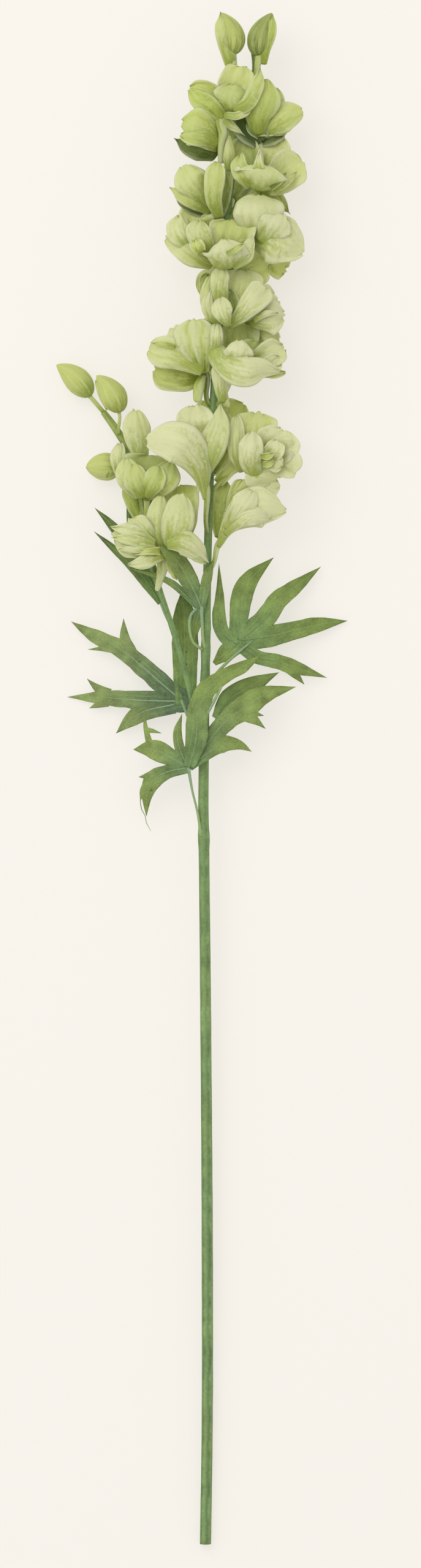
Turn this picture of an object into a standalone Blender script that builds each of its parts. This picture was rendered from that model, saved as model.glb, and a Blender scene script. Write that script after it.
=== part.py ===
# A cut delphinium stem lying on a table: stalk, side branch, leaves, florets and buds.
# Run with: blender --background --python part.py
# Sizes and places are in millimetres from the stalk's cut end, with +Y along the stalk,
# +X to the right of the spike and +Z up from the table.

import math
import random

import bmesh
import bpy
from mathutils import Vector

MM = 0.001

PETAL_THICKNESS = 0.8
PETAL_ROOTS = (2.4, 0.9)
PETAL_END = 0.985
SHORTEST_PETAL = 0.5
LENGTH_PER_REACH = 1.08
PETAL_ROWS = (3, 2)
THROAT_RADIUS = 3.6
THROAT_BEHIND = 2.5
THROAT_AHEAD = 4.5
BLOOM_MIDDLE = 0.45
NEIGHBOUR_REACH = 1.15
ROD_REACH = 1.5
EGG_TAPER = 0.35
LEAF_THICKNESS = 0.8
LEAF_STALK_RADIUS = 1.2
LEAF_STRIP = 18.0
LOBE_SPACING = 12.0
STALK_RADIUS = 1.3
STALK_TOP_RADIUS = 1.8
STALK_LIFT = 1.0
STALK_STEPS = 3
STALK_SUNK = 1.5
SEAT_GAP = 0.35
FENCE_MARGIN = 0.8
FENCE_SOFTNESS = 5.0
STEM_SPACING = 45
BRANCH_SPACING = 16

# Colour and roughness of each kind of piece.
FINISHES = {
    "stem": ((0.16, 0.29, 0.12), 0.55),
    "petal": ((0.60, 0.68, 0.34), 0.60),
    "bud": ((0.42, 0.54, 0.20), 0.55),
    "leaf": ((0.17, 0.28, 0.10), 0.60),
}

# Main stalk: points of its centre line and the radius at each.
STEM = [
    ((-0.4, 0, 6.2), 3.6),
    ((0.8, 90, 9.0), 3.6),
    ((0.8, 210, 12.9), 3.6),
    ((-0.2, 350, 17.3), 3.5),
    ((-1.2, 450, 21.2), 3.4),
    ((-1.6, 494, 22.9), 3.3),
    ((-0.4, 570, 25.8), 2.7),
    ((0.8, 630, 27.8), 2.3),
    ((2.0, 678, 29.3), 2.2),
    ((3.6, 722, 30.3), 2.2),
    ((5.6, 758, 30.8), 2.1),
    ((9.2, 810, 31.2), 2.0),
    ((14.4, 874, 31.2), 1.8),
    ((20.8, 922, 30.6), 1.6),
    ((25.6, 967, 30.0), 1.2),
]

SIDE_BRANCH = [
    ((-5.0, 528, 27.0), 1.9),
    ((-8.5, 550, 31.0), 2.0),
    ((-14.4, 574, 32.0), 2.0),
    ((-20.8, 597, 32.0), 2.0),
    ((-26.4, 614, 31.5), 2.0),
    ((-32.0, 631, 30.5), 2.0),
    ((-37.2, 651, 28.5), 2.0),
    ((-39.6, 671, 26.0), 2.0),
    ((-43.0, 694, 22.5), 2.0),
    ((-49.0, 714, 18.5), 2.0),
    ((-58.4, 730, 15.0), 1.9),
    ((-67.0, 742, 13.0), 1.7),
]

# Rings of petals: count, length and width as shares of the floret's petal length, angle from the
# floret's axis at the petal's base and at its tip, and bluntness of its tip (smaller is blunter).
RINGS = {
    "open": [(5, 1.00, 0.80, 32, 80, 0.62), (3, 0.72, 0.58, 8, 46, 0.62)],
    "cup": [(5, 1.00, 0.80, 38, 52, 0.62), (3, 0.72, 0.56, 8, 30, 0.62)],
    "half": [(4, 1.00, 0.86, 52, -16, 0.70), (2, 0.80, 0.66, 26, -10, 0.70)],
    "trumpet": [(5, 1.00, 0.60, 16, 66, 0.60), (3, 0.78, 0.44, 4, 34, 0.60)],
    "back": [(5, 1.00, 0.80, 34, 70, 0.60)],
}

# Florets: where the petals meet, the way the floret opens, petal length, ring set, turn of the
# rings, height on the stalk where its own stalk starts, and any other planes its petals stay under.
BLOOMS = {
    "crown_left": dict(
        seat=(14.0, 934, 38), face=(0.35, 0.80, 0.45), size=30, rings="half", turn=20, foot=912
    ),
    "crown_right": dict(
        seat=(31.0, 928, 32), face=(0.70, 0.62, 0.35), size=32, rings="half", turn=0, foot=912
    ),
    "shoulder_left": dict(
        seat=(7.0, 917, 31), face=(-0.85, 0.35, 0.35), size=34, rings="half", turn=10, foot=900
    ),
    "shoulder_right": dict(
        seat=(25.0, 887, 34), face=(0.64, 0.57, 0.50), size=35, rings="cup", turn=15, foot=872
    ),
    "upper_left": dict(
        seat=(4.5, 868, 35), face=(-0.65, 0.68, 0.35), size=32, rings="half", turn=0, foot=855
    ),
    "upper_right": dict(
        seat=(31.0, 850, 27), face=(0.55, 0.15, 0.80), size=38, rings="open", turn=36, foot=838
    ),
    "middle_left": dict(
        seat=(5.0, 847, 38), face=(-0.15, 0.10, 0.98), size=44, rings="open", turn=10, foot=828
    ),
    "centre": dict(
        seat=(18.0, 812, 38), face=(0.05, 0.10, 1.00), size=36, rings="open", turn=10, foot=797
    ),
    "centre_right": dict(
        seat=(25.0, 803, 25), face=(0.85, 0.05, 0.40), size=30, rings="open", turn=0, foot=790
    ),
    "lower_right": dict(
        seat=(23.0, 773, 36), face=(0.25, 0.20, 0.93), size=40, rings="open", turn=0, foot=752
    ),
    "lower_left": dict(
        seat=(0.5, 766, 32), face=(-0.82, 0.52, 0.20), size=42, rings="open", turn=20, foot=744
    ),
    "trumpet_left": dict(
        seat=(-1.8, 694, 36), face=(-0.46, 0.86, 0.12), size=46, rings="trumpet", turn=0, foot=670
    ),
    "trumpet_right": dict(
        seat=(10.0, 660, 33), face=(0.74, 0.64, 0.14), size=46, rings="trumpet", turn=30, foot=643
    ),
    "side_open": dict(
        seat=(31.0, 712, 30), face=(0.30, 0.10, 0.95), size=40, rings="open", turn=0, foot=690
    ),
    "branch_open": dict(
        seat=(-33.5, 648, 38),
        face=(-0.25, 0.15, 0.95),
        size=46,
        rings="open",
        turn=10,
        foot=640,
        under=[((-15.5, 641.5, 38.6), (-0.55, -0.1, -0.83))],
    ),
    "branch_half": dict(
        seat=(-38.5, 681, 30), face=(0.00, 0.88, 0.45), size=32, rings="half", turn=0, foot=671
    ),
    "back_top": dict(
        seat=(22.0, 930, 22), face=(-0.05, 0.30, -0.90), size=26, rings="back", turn=0, foot=914
    ),
    "back_upper": dict(
        seat=(17.0, 880, 22), face=(-0.20, 0.10, -0.95), size=30, rings="back", turn=18, foot=866
    ),
    "back_middle": dict(
        seat=(12.0, 832, 21), face=(-0.10, 0.05, -0.95), size=30, rings="back", turn=0, foot=818
    ),
    "back_lower": dict(
        seat=(8.0, 784, 21), face=(0.05, 0.05, -0.95), size=30, rings="back", turn=30, foot=766
    ),
    "back_foot": dict(
        seat=(6.0, 728, 22), face=(0.20, 0.00, -0.90), size=32, rings="back", turn=0, foot=708
    ),
}

# Buds: where the bud starts, its tip, its greatest radius, and the height where its stalk starts.
BUDS = {
    "tip_left": dict(seat=(18.8, 974, 36), tip=(10.4, 1002, 40), radius=9.0, foot=958),
    "tip_right": dict(seat=(36.0, 972, 33), tip=(42.8, 1002, 35), radius=8.2, foot=958),
    "small": dict(seat=(17.0, 898, 39), tip=(16.4, 921, 44), radius=4.4, foot=884),
    "branch_end": dict(seat=(-74.0, 750, 12), tip=(-97.6, 774, 12), radius=9.5, foot=None),
    "branch_upper": dict(seat=(-57.5, 741, 20), tip=(-71.2, 765, 23), radius=10.0, foot=728),
    "branch_tall": dict(seat=(-41.6, 712, 24), tip=(-48.0, 742, 30), radius=8.5, foot=700),
    "branch_low": dict(seat=(-54.0, 705, 14), tip=(-80.0, 704, 10), radius=10.0, foot=694),
}


# Leaves: each has sheets that lie over one another. A sheet's lobes are the points of their ribs, the
# width at each and, on some, how steeply the lobe rises to the left of its rib. Its teeth are the same
# without a height. A leaf stalk runs from the blade to the rod that carries it.
LEAVES = {
    "left": dict(
        sheets=[
            dict(
                lobes=[
                    (
                        [
                            (-17, 554, 17), (-31, 566, 17), (-47, 580, 15),
                            (-58, 588, 13), (-74, 596, 9), (-88.5, 605, 5),
                        ],
                        [12, 13, 12, 11, 8.5, 0],
                    ),
                    (
                        [
                            (-17.5, 552.5, 17), (-40.5, 553, 15), (-53.5, 554, 12),
                            (-68.5, 555, 8), (-91, 555.5, 3),
                        ],
                        [13, 13, 11, 9, 0],
                    ),
                    (
                        [(-20.5, 550.5, 17), (-38.5, 546.5, 14), (-48.5, 541, 11), (-59, 531.5, 7)],
                        [12, 12, 10, 0],
                    ),
                    (
                        [
                            (-13, 553.5, 17), (-14, 574.5, 18), (-14.5, 592.5, 18),
                            (-15.5, 608.5, 17), (-17.5, 624, 15),
                        ],
                        [13, 15, 15, 11, 0],
                    ),
                ],
                teeth=[
                    ([(-45.5, 578), (-52.5, 591), (-54, 607)], [9, 8, 0]),
                    ([(-60, 587), (-69, 587), (-77.5, 586.5)], [6, 3, 0]),
                    ([(-64.5, 556.5), (-71.5, 561.5), (-78, 567.5)], [10, 5, 0]),
                    ([(-64.5, 552.5), (-70.5, 550.5), (-76.5, 548)], [7, 4.5, 0]),
                ],
            )
        ],
        stalk=[(-16, 553.5, 17), (-11, 541, 19)],
        foot=528,
    ),
    "right": dict(
        sheets=[
            dict(
                lobes=[
                    (
                        [
                            (20, 589.5, 23), (11, 597.5, 24), (8.5, 608.5, 24),
                            (9, 621.5, 23), (8.5, 643, 21),
                        ],
                        [12, 9.5, 9, 5.5, 0],
                    ),
                    (
                        [
                            (21, 592.5, 23), (21.5, 605.5, 22), (23.5, 620.5, 20),
                            (29, 632.5, 17), (44.5, 647, 10),
                        ],
                        [12, 12, 14, 11.5, 0],
                    ),
                    (
                        [
                            (22.5, 592, 23), (39, 607, 20), (47, 618.5, 17),
                            (58.5, 627.5, 13), (75.5, 641, 6),
                        ],
                        [15, 13.5, 12.5, 9.5, 0],
                    ),
                    (
                        [
                            (23.5, 592.5, 23), (41.5, 595, 19), (58, 599, 14),
                            (74.5, 603, 9), (93, 605.5, 4),
                        ],
                        [14, 14, 12, 9.5, 0],
                    ),
                    (
                        [
                            (22.5, 589.5, 23), (33.5, 581.5, 21), (47, 578.5, 17),
                            (57.5, 575, 14), (79.5, 568, 7),
                        ],
                        [10, 9, 9.5, 9.5, 0],
                    ),
                    ([(21.5, 591, 23), (13, 584, 24), (5.5, 577, 24.5)], [13, 11, 3]),
                ],
                teeth=[([(53.5, 575), (59.5, 569), (64.5, 563.5)], [8, 4.5, 0])],
            )
        ],
        stalk=[(30, 592, 22), (19.5, 583, 24.5), (9.5, 573.5, 26)],
        foot=565,
    ),
    "front": dict(
        sheets=[
            dict(
                lobes=[
                    (
                        [(-11.5, 509.5, 31), (-22.5, 515.5, 29), (-34.5, 521, 25), (-47.5, 521, 18)],
                        [7, 11, 13, 0],
                    ),
                    (
                        [
                            (-11.5, 509, 31), (-24.5, 506.5, 28), (-34.5, 501, 23),
                            (-38.5, 490.5, 18), (-39, 477, 12),
                        ],
                        [7, 9, 12, 7, 0],
                    ),
                    (
                        [(-11.5, 509.5, 31), (-17, 521.5, 30), (-18.5, 532.5, 29), (-15.5, 544.5, 28)],
                        [5, 6.5, 5.5, 0],
                    ),
                    (
                        [
                            (-11, 510, 31), (3.5, 528.5, 32.5), (14.5, 540.5, 32),
                            (25.5, 548.5, 30), (37.5, 556.5, 27), (59, 562, 21),
                        ],
                        [7, 11, 13, 16, 12, 0],
                    ),
                    (
                        [
                            (-11, 509.5, 31), (-0.5, 517.5, 32), (10.5, 524.5, 30),
                            (21.5, 524, 26), (30, 519.5, 22),
                        ],
                        [6, 8, 11, 6.5, 0],
                    ),
                ],
                teeth=[
                    ([(-37, 525.5), (-39.5, 536), (-40, 547)], [4.5, 2.5, 0]),
                    ([(-39, 533.5), (-34.5, 533), (-29, 531.5)], [4, 2.6, 0]),
                    ([(-34.5, 504), (-39, 503.5), (-44, 503)], [7, 4, 0]),
                    ([(-36.5, 498.5), (-41, 493.5), (-43, 487.5)], [9, 5, 0]),
                    ([(27.5, 543), (33.5, 539), (39, 534.5)], [9, 4.5, 0]),
                    ([(29, 546.5), (33.5, 544), (38, 543)], [6, 3, 0]),
                ],
            ),
            dict(
                lobes=[
                    (
                        [
                            (-11, 509.5, 31.5),
                            (-6.5, 526.5, 34.5),
                            (-5.5, 542.5, 35.5),
                            (-0.5, 558.5, 35.5),
                            (11.5, 568.5, 34.5),
                            (23.5, 574.5, 33),
                            (37, 583, 30),
                        ],
                        [7, 14, 14, 13, 9.5, 8, 0],
                    ),
                ],
                teeth=[],
            ),
            dict(
                lobes=[
                    (
                        [(6.5, 541, 32.5), (15.5, 553.5, 28), (29.5, 562.5, 24.5), (48, 571.5, 21)],
                        [6, 14, 12, 0],
                    )
                ],
                teeth=[],
            ),
        ],
        stalk=[(-11.5, 509.5, 31), (-9, 494.5, 28), (-5.5, 480, 26)],
        foot=463,
    ),
    "collar": dict(
        sheets=[
            dict(
                lobes=[
                    (
                        [
                            (-3, 613.5, 33), (-9, 628.5, 36), (-15.5, 641.5, 40),
                            (-22, 650.5, 43.5), (-30, 652, 49),
                        ],
                        [4.5, 8, 8.5, 8, 0],
                        0.6,
                    )
                ],
                teeth=[],
            ),
            dict(
                lobes=[
                    (
                        [(-3, 611, 33), (-14.5, 623, 34.5), (-27, 632, 35), (-49.5, 639, 35)],
                        [3.5, 4.5, 4.2, 0],
                    ),
                    (
                        [(-3, 613, 33), (-2, 626.5, 33.5), (0, 636.5, 33.5), (4, 644, 33)],
                        [4.5, 5, 4.5, 0],
                    ),
                    ([(-3, 615, 33), (-6, 604.5, 29), (-7.5, 591, 24)], [5, 7, 0]),
                ],
                teeth=[],
            ),
        ],
        stalk=[(-3, 614.5, 33), (-2.5, 604, 32), (-2, 594, 30.5)],
        foot=586,
    ),
    "branch": dict(
        sheets=[
            dict(
                lobes=[
                    (
                        [
                            (-29.5, 616.5, 25), (-37, 629, 24), (-48.5, 641.5, 21),
                            (-62.5, 654.5, 17), (-73.5, 664, 14),
                        ],
                        [4, 9, 7, 4, 0],
                    ),
                    (
                        [(-31, 623, 24.5), (-45.5, 647, 21), (-59.5, 665.5, 17), (-73, 679.5, 14)],
                        [6, 8, 6.5, 0],
                    ),
                    (
                        [(-33.5, 628.5, 24), (-43, 653.5, 20), (-49, 668.5, 17), (-52, 681, 15)],
                        [6, 8, 5, 0],
                    ),
                ],
                teeth=[],
            )
        ],
        stalk=[(-29.5, 617, 25), (-26.5, 609, 26)],
        foot=600,
    ),
}


def smooth_path(points, spacing):
    """Points of a Catmull-Rom curve through the given ones, about one spacing apart."""
    points = [Vector(p) for p in points]
    ends = [points[0] * 2 - points[1], *points, points[-1] * 2 - points[-2]]
    found = [points[0]]
    for a, b, c, d in zip(ends, ends[1:], ends[2:], ends[3:]):
        steps = max(1, round((c - b).length / spacing))
        for k in range(1, steps + 1):
            t = k / steps
            even = 2 * b + (2 * a - 5 * b + 4 * c - d) * t**2
            odd = (c - a) * t + (3 * b - 3 * c + d - a) * t**3
            found.append(0.5 * (even + odd))
    return found


def radius_at(rod, place):
    """The rod's radius beside a place, from its two nearest points."""
    near = sorted(rod, key=lambda row: (Vector(row[0]) - place).length)[:2]
    gaps = [(Vector(row[0]) - place).length + 1e-6 for row in near]
    return (near[0][1] * gaps[1] + near[1][1] * gaps[0]) / sum(gaps)


def nearest_on(path, place):
    """The point of a path nearest to a place."""
    best = None
    for a, b in zip(path, path[1:]):
        along = b - a
        t = min(1, max(0, (place - a).dot(along) / along.length_squared))
        point = a + along * t
        if best is None or (point - place).length < (best - place).length:
            best = point
    return best


STEM_PATH = smooth_path([row[0] for row in STEM], STEM_SPACING)
BRANCH_PATH = smooth_path([row[0] for row in SIDE_BRANCH], BRANCH_SPACING)


def carrier_of(name):
    """The rod that carries a piece: the side branch if its name says so, or the stalk."""
    return (SIDE_BRANCH, BRANCH_PATH) if name.startswith("branch") else (STEM, STEM_PATH)


def at_height(path, height):
    """The point of a path at a given Y, and the path's direction there."""
    for a, b in zip(path, path[1:]):
        if a.y <= height <= b.y:
            return a.lerp(b, (height - a.y) / (b.y - a.y)), (b - a).normalized()


def floret_axes(face):
    """The floret's axis, the way its first petal points and the way across."""
    axis = Vector(face).normalized()
    first = Vector((0, 1, 0)) - axis * axis.y
    if first.length < 0.35:
        first = Vector((0, 0, 1)) - axis * axis.z
    first.normalize()
    return axis, first, axis.cross(first)


def room_for(seat, direction, planes):
    """How far a petal may reach from the seat before the nearest plane in its way."""
    reach = 1000.0
    for point, normal in planes:
        towards = -normal.dot(direction)
        if towards > 0.05:
            reach = min(reach, ((seat - point).dot(normal) - FENCE_MARGIN) / towards)
    return reach


def petals_of(name, planes):
    """Every petal of a floret, with a small seeded draw of its own."""
    bloom = BLOOMS[name]
    seat = Vector(bloom["seat"])
    axis, first, across = floret_axes(bloom["face"])
    draw = random.Random(name)
    for ring, (count, length, width, low, high, blunt) in enumerate(RINGS[bloom["rings"]]):
        for k in range(count):
            turn = bloom["turn"] + 360 * (k + 0.5 * ring) / count + draw.uniform(-4, 4)
            lean = math.radians((low + high) / 2)
            outward = first * math.cos(math.radians(turn)) + across * math.sin(math.radians(turn))
            heading = axis * math.cos(lean) + outward * math.sin(lean)
            room = room_for(seat, heading, planes) * LENGTH_PER_REACH
            share = min(1, max(SHORTEST_PETAL, room / (bloom["size"] * length)))
            yield dict(
                turn=turn,
                length=bloom["size"] * length * share * draw.uniform(0.93, 1.02),
                width=bloom["size"] * width * share**0.6 * draw.uniform(0.93, 1.07),
                low=low + draw.uniform(-2, 2),
                high=high + draw.uniform(-8, 8),
                blunt=blunt,
                roll=draw.uniform(11, 14),
                ruffle=draw.uniform(0.03, 0.05) * bloom["size"],
                phase=draw.uniform(0, 1),
                rows=PETAL_ROWS[ring],
                root=PETAL_ROOTS[ring],
            )


def petal_point(petal, seat, axes, u, v):
    """A point of a petal's middle surface: u runs from its base to its tip and v across it."""
    axis, first, across = axes
    turn = math.radians(petal["turn"])
    outward = first * math.cos(turn) + across * math.sin(turn)
    side = axis.cross(outward)
    low, high = math.radians(petal["low"]), math.radians(petal["high"])
    forward, out = 0.0, petal["root"]
    steps = 10
    for k in range(steps):
        angle = low + (high - low) * u * (k + 0.5) / steps
        forward += math.cos(angle) * petal["length"] * u / steps
        out += math.sin(angle) * petal["length"] * u / steps
    angle = low + (high - low) * u
    inward = axis * math.sin(angle) - outward * math.cos(angle)
    roll = math.radians(petal["roll"])
    rolled = side * math.cos(roll) + inward * math.sin(roll)
    inward = inward * math.cos(roll) - side * math.sin(roll)
    half = 0.5 * petal["width"] * (0.08 * (1 - u) + math.sin(math.pi * u**1.6) ** petal["blunt"])
    # The petal bends round the floret's axis as the cone through it does, so its neighbours lie over it.
    bend = min(1.3, max(0.03, half * math.cos(angle) / out))
    ripple = math.sin(2 * math.pi * (1.4 * u + 0.3 * v + petal["phase"]))
    wave = petal["ruffle"] * u**1.5 * abs(v) ** 1.5 * ripple
    bowed = rolled * math.sin(v * bend) + inward * (1 - math.cos(v * bend))
    return seat + axis * forward + outward * out + bowed * (half / bend) + inward * wave


def middle_of(name):
    """A floret's middle, used to share out the room between neighbours."""
    bloom = BLOOMS[name]
    return Vector(bloom["seat"]) + Vector(bloom["face"]).normalized() * bloom["size"] * BLOOM_MIDDLE


def fences_of(name):
    """Planes that a floret's petals bend away from: its neighbours, the rods, the buds and the table."""
    here = middle_of(name)
    planes = []
    for other in BLOOMS:
        there = middle_of(other)
        away = here - there
        reach = BLOOMS[name]["size"] + BLOOMS[other]["size"]
        if other != name and away.length < reach * NEIGHBOUR_REACH:
            share = BLOOMS[other]["size"] / reach
            planes.append((there + away * share, away.normalized()))
    rods = [
        (STEM_PATH, lambda place: radius_at(STEM, place)),
        (BRANCH_PATH, lambda place: radius_at(SIDE_BRANCH, place)),
    ]
    for bud in BUDS.values():
        rods.append(([Vector(bud["seat"]), Vector(bud["tip"])], lambda place, bud=bud: bud["radius"]))
    for path, radius in rods:
        point = nearest_on(path, here)
        away = here - point
        if away.length < BLOOMS[name]["size"] * ROD_REACH:
            planes.append((point + away.normalized() * radius(point), away.normalized()))
    planes.append((Vector((0, 0, 0)), Vector((0, 0, 1))))
    for point, normal in BLOOMS[name].get("under", []):
        planes.append((Vector(point), Vector(normal).normalized()))
    return planes


def bent_clear(place, planes):
    """The place, bent smoothly back to the right side of every plane."""
    for _ in range(3):
        for point, normal in planes:
            depth = (place - point).dot(normal)
            if depth < FENCE_SOFTNESS:
                room = FENCE_SOFTNESS - FENCE_MARGIN
                kept = FENCE_MARGIN + room * math.exp((depth - FENCE_SOFTNESS) / room)
                place = place + normal * (kept - depth)
    return place


def link(name, data, collection):
    """A new object in a collection."""
    made = bpy.data.objects.new(name, data)
    collection.objects.link(made)
    return made


def mesh_of(made):
    """An object's mesh with its modifiers applied. The object is removed."""
    bpy.context.view_layer.update()
    graph = bpy.context.evaluated_depsgraph_get()
    mesh = bpy.data.meshes.new_from_object(made.evaluated_get(graph))
    bpy.data.objects.remove(made)
    return mesh


def mesh_from(name, grid):
    """A mesh from a bmesh whose points are in millimetres."""
    for vert in grid.verts:
        vert.co *= MM
    mesh = bpy.data.meshes.new(name)
    grid.to_mesh(mesh)
    grid.free()
    return mesh


def sheet(name, grid, thickness, collection):
    """A thin solid from an open surface, split into triangles alike on both faces."""
    bmesh.ops.triangulate(grid, faces=grid.faces)
    made = link(name, mesh_from(name, grid), collection)
    shell = made.modifiers.new("thickness", "SOLIDIFY")
    shell.thickness = thickness * MM
    shell.offset = 0
    return made


def petal(name, facts, seat, axes, planes, collection):
    """One petal: a grid laid on the petal's surface and thickened."""
    grid = bmesh.new()
    bmesh.ops.create_grid(grid, x_segments=2, y_segments=facts["rows"], size=1)
    for vert in grid.verts:
        u = PETAL_END * (1 - (1 - (vert.co.y + 1) / 2) ** 1.25)
        vert.co = bent_clear(petal_point(facts, seat, axes, u, vert.co.x), planes)
    return sheet(name, grid, PETAL_THICKNESS, collection)


def tube(name, points, radii, roundness, collection):
    """A round rod along points, as a mesh with its caps welded on."""
    curve = bpy.data.curves.new(name, "CURVE")
    curve.dimensions = "3D"
    curve.bevel_depth = MM
    curve.bevel_resolution = roundness
    curve.use_fill_caps = True
    spline = curve.splines.new("POLY")
    spline.points.add(len(points) - 1)
    for knot, place, radius in zip(spline.points, points, radii):
        knot.co = (*(place * MM), 1)
        knot.radius = radius
    mesh = mesh_of(link(name, curve, collection))
    grid = bmesh.new()
    grid.from_mesh(mesh)
    bmesh.ops.remove_doubles(grid, verts=grid.verts, dist=1e-6)
    bmesh.ops.recalc_face_normals(grid, faces=grid.faces)
    grid.to_mesh(mesh)
    grid.free()
    return link(name, mesh, collection)


def egg(name, base, tip, radius, sides, rings, collection):
    """A closed bud or throat from base to tip, widest before its middle and pointed at its tip."""
    grid = bmesh.new()
    bmesh.ops.create_uvsphere(grid, u_segments=sides, v_segments=rings, radius=1)
    axis, first, across = floret_axes(tip - base)
    length = (tip - base).length
    for vert in grid.verts:
        share = (vert.co.z + 1) / 2
        swell = radius * (1 - EGG_TAPER * share**2)
        vert.co = base + axis * length * share + (first * vert.co.x + across * vert.co.y) * swell
    return link(name, mesh_from(name, grid), collection)


def foot_on(name, foot, toward):
    """The two points where a stalk starts, just off the surface of the rod that carries it."""
    rod, path = carrier_of(name)
    root, along = at_height(path, foot)
    outward = toward - root
    outward = (outward - along * outward.dot(along)).normalized()
    start = root + outward * (radius_at(rod, root) + SEAT_GAP)
    return start, start + outward * STALK_LIFT


def stalk_to(name, foot, seat, axis, collection):
    """The short stalk under a floret or a bud. It starts just off the rod's surface."""
    path = carrier_of(name)[1]
    if foot is None:
        start = path[-1] + axis * SEAT_GAP
        points = [start, start.lerp(seat, 0.5), seat + axis * STALK_SUNK]
    else:
        start, lifted = foot_on(name, foot, seat)
        reach = (seat - lifted).length
        rising = lifted + (lifted - start + Vector((0, 1, 0))) * reach * 0.25
        bow = [lifted, rising, seat - axis * reach * 0.3, seat + axis * STALK_SUNK]
        points = [start]
        for k in range(STALK_STEPS + 1):
            t = k / STALK_STEPS
            weights = ((1 - t) ** 3, 3 * t * (1 - t) ** 2, 3 * t * t * (1 - t), t**3)
            points.append(sum((p * w for p, w in zip(bow, weights)), Vector()))
    radii = [STALK_RADIUS] * (len(points) - 1) + [STALK_TOP_RADIUS]
    return tube("stalk", points, radii, 1, collection)


def joined(first, helpers):
    """One mesh from the first object and everything in the helpers' collection."""
    if not helpers.objects:
        return mesh_of(first)
    union = first.modifiers.new("join", "BOOLEAN")
    union.operation = "UNION"
    union.operand_type = "COLLECTION"
    union.collection = helpers
    union.solver = "MANIFOLD"
    mesh = mesh_of(first)
    for helper in list(helpers.objects):
        bpy.data.objects.remove(helper)
    return mesh


def without_scraps(mesh):
    """Keeps a mesh's largest body: sealed hollows are filled and loose scraps dropped."""
    grid = bmesh.new()
    grid.from_mesh(mesh)
    left = set(grid.faces)
    bodies = []
    while left:
        body, fresh = set(), {left.pop()}
        while fresh:
            body |= fresh
            edges = {edge for face in fresh for edge in face.edges}
            fresh = {face for edge in edges for face in edge.link_faces} - body
        left -= body
        bodies.append(body)
    bodies.sort(key=len)
    for body in bodies[:-1]:
        bmesh.ops.delete(grid, geom=list(body), context="FACES")
    grid.to_mesh(mesh)
    grid.free()
    return mesh


def floret(name, collection, helpers):
    """A floret: throat, petals and stalk as one grown piece."""
    bloom = BLOOMS[name]
    seat = Vector(bloom["seat"])
    axes = floret_axes(bloom["face"])
    planes = fences_of(name)
    base, mouth = seat - axes[0] * THROAT_BEHIND, seat + axes[0] * THROAT_AHEAD
    throat = egg("throat", base, mouth, THROAT_RADIUS, 6, 4, collection)
    for k, facts in enumerate(petals_of(name, planes)):
        petal(f"petal{k}", facts, seat, axes, planes, helpers)
    stalk_to(name, bloom["foot"], seat, axes[0], helpers)
    return link(f"bloom_{name}", without_scraps(joined(throat, helpers)), collection)


def bud(name, collection, helpers):
    """A closed bud and its stalk as one grown piece."""
    facts = BUDS[name]
    seat, tip = Vector(facts["seat"]), Vector(facts["tip"])
    body = egg("body", seat, tip, facts["radius"], 9, 6, collection)
    stalk_to(name, facts["foot"], seat, (tip - seat).normalized(), helpers)
    return link(f"bud_{name}", without_scraps(joined(body, helpers)), collection)


def lobe_plate(name, points, widths, collection):
    """A lobe's outline in plan, up one side of its rib and down the other, as a flat plate."""
    rib = smooth_path([(p[0], p[1], w) for p, w in zip(points, widths)], LOBE_SPACING)
    left, right = [], []
    for k, here in enumerate(rib):
        along = rib[min(k + 1, len(rib) - 1)] - rib[max(k - 1, 0)]
        across = Vector((-along.y, along.x, 0)).normalized() * max(here.z, 0.0) / 2
        left.append(Vector((here.x, here.y, 0)) + across)
        right.append(Vector((here.x, here.y, 0)) - across)
    outline = left[:-1] + ([left[-1]] if widths[-1] == 0 else [left[-1], right[-1]]) + right[-2::-1]
    curve = bpy.data.curves.new(name, "CURVE")
    curve.dimensions = "2D"
    curve.fill_mode = "BOTH"
    curve.extrude = 1 * MM
    spline = curve.splines.new("POLY")
    spline.points.add(len(outline) - 1)
    for knot, place in zip(spline.points, outline):
        knot.co = (*(place * MM), 1)
    spline.use_cyclic_u = True
    mesh = mesh_of(link(name, curve, collection))
    grid = bmesh.new()
    grid.from_mesh(mesh)
    bmesh.ops.remove_doubles(grid, verts=grid.verts, dist=1e-6)
    bmesh.ops.recalc_face_normals(grid, faces=grid.faces)
    grid.to_mesh(mesh)
    grid.free()
    return link(name, mesh, collection)


def blade_height(lobes, place):
    """How high a sheet lies at a place in plan, blended from the ribs near it."""
    total, height = 0.0, 0.0
    for points, _, *lean in lobes:
        best = None
        for a, b in zip(points, points[1:]):
            a, b = Vector(a), Vector(b)
            flat = (b - a).to_2d()
            t = min(1, max(0, (place.to_2d() - a.to_2d()).dot(flat) / flat.length_squared))
            point = a.lerp(b, t)
            off = place.to_2d() - point.to_2d()
            if best is None or off.length < best[0]:
                best = (off.length, point.z + sum(lean) * flat.normalized().cross(off))
        weight = 1 / (best[0] ** 2 + 2) ** 2
        total += weight
        height += weight * best[1]
    return height / total


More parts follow.
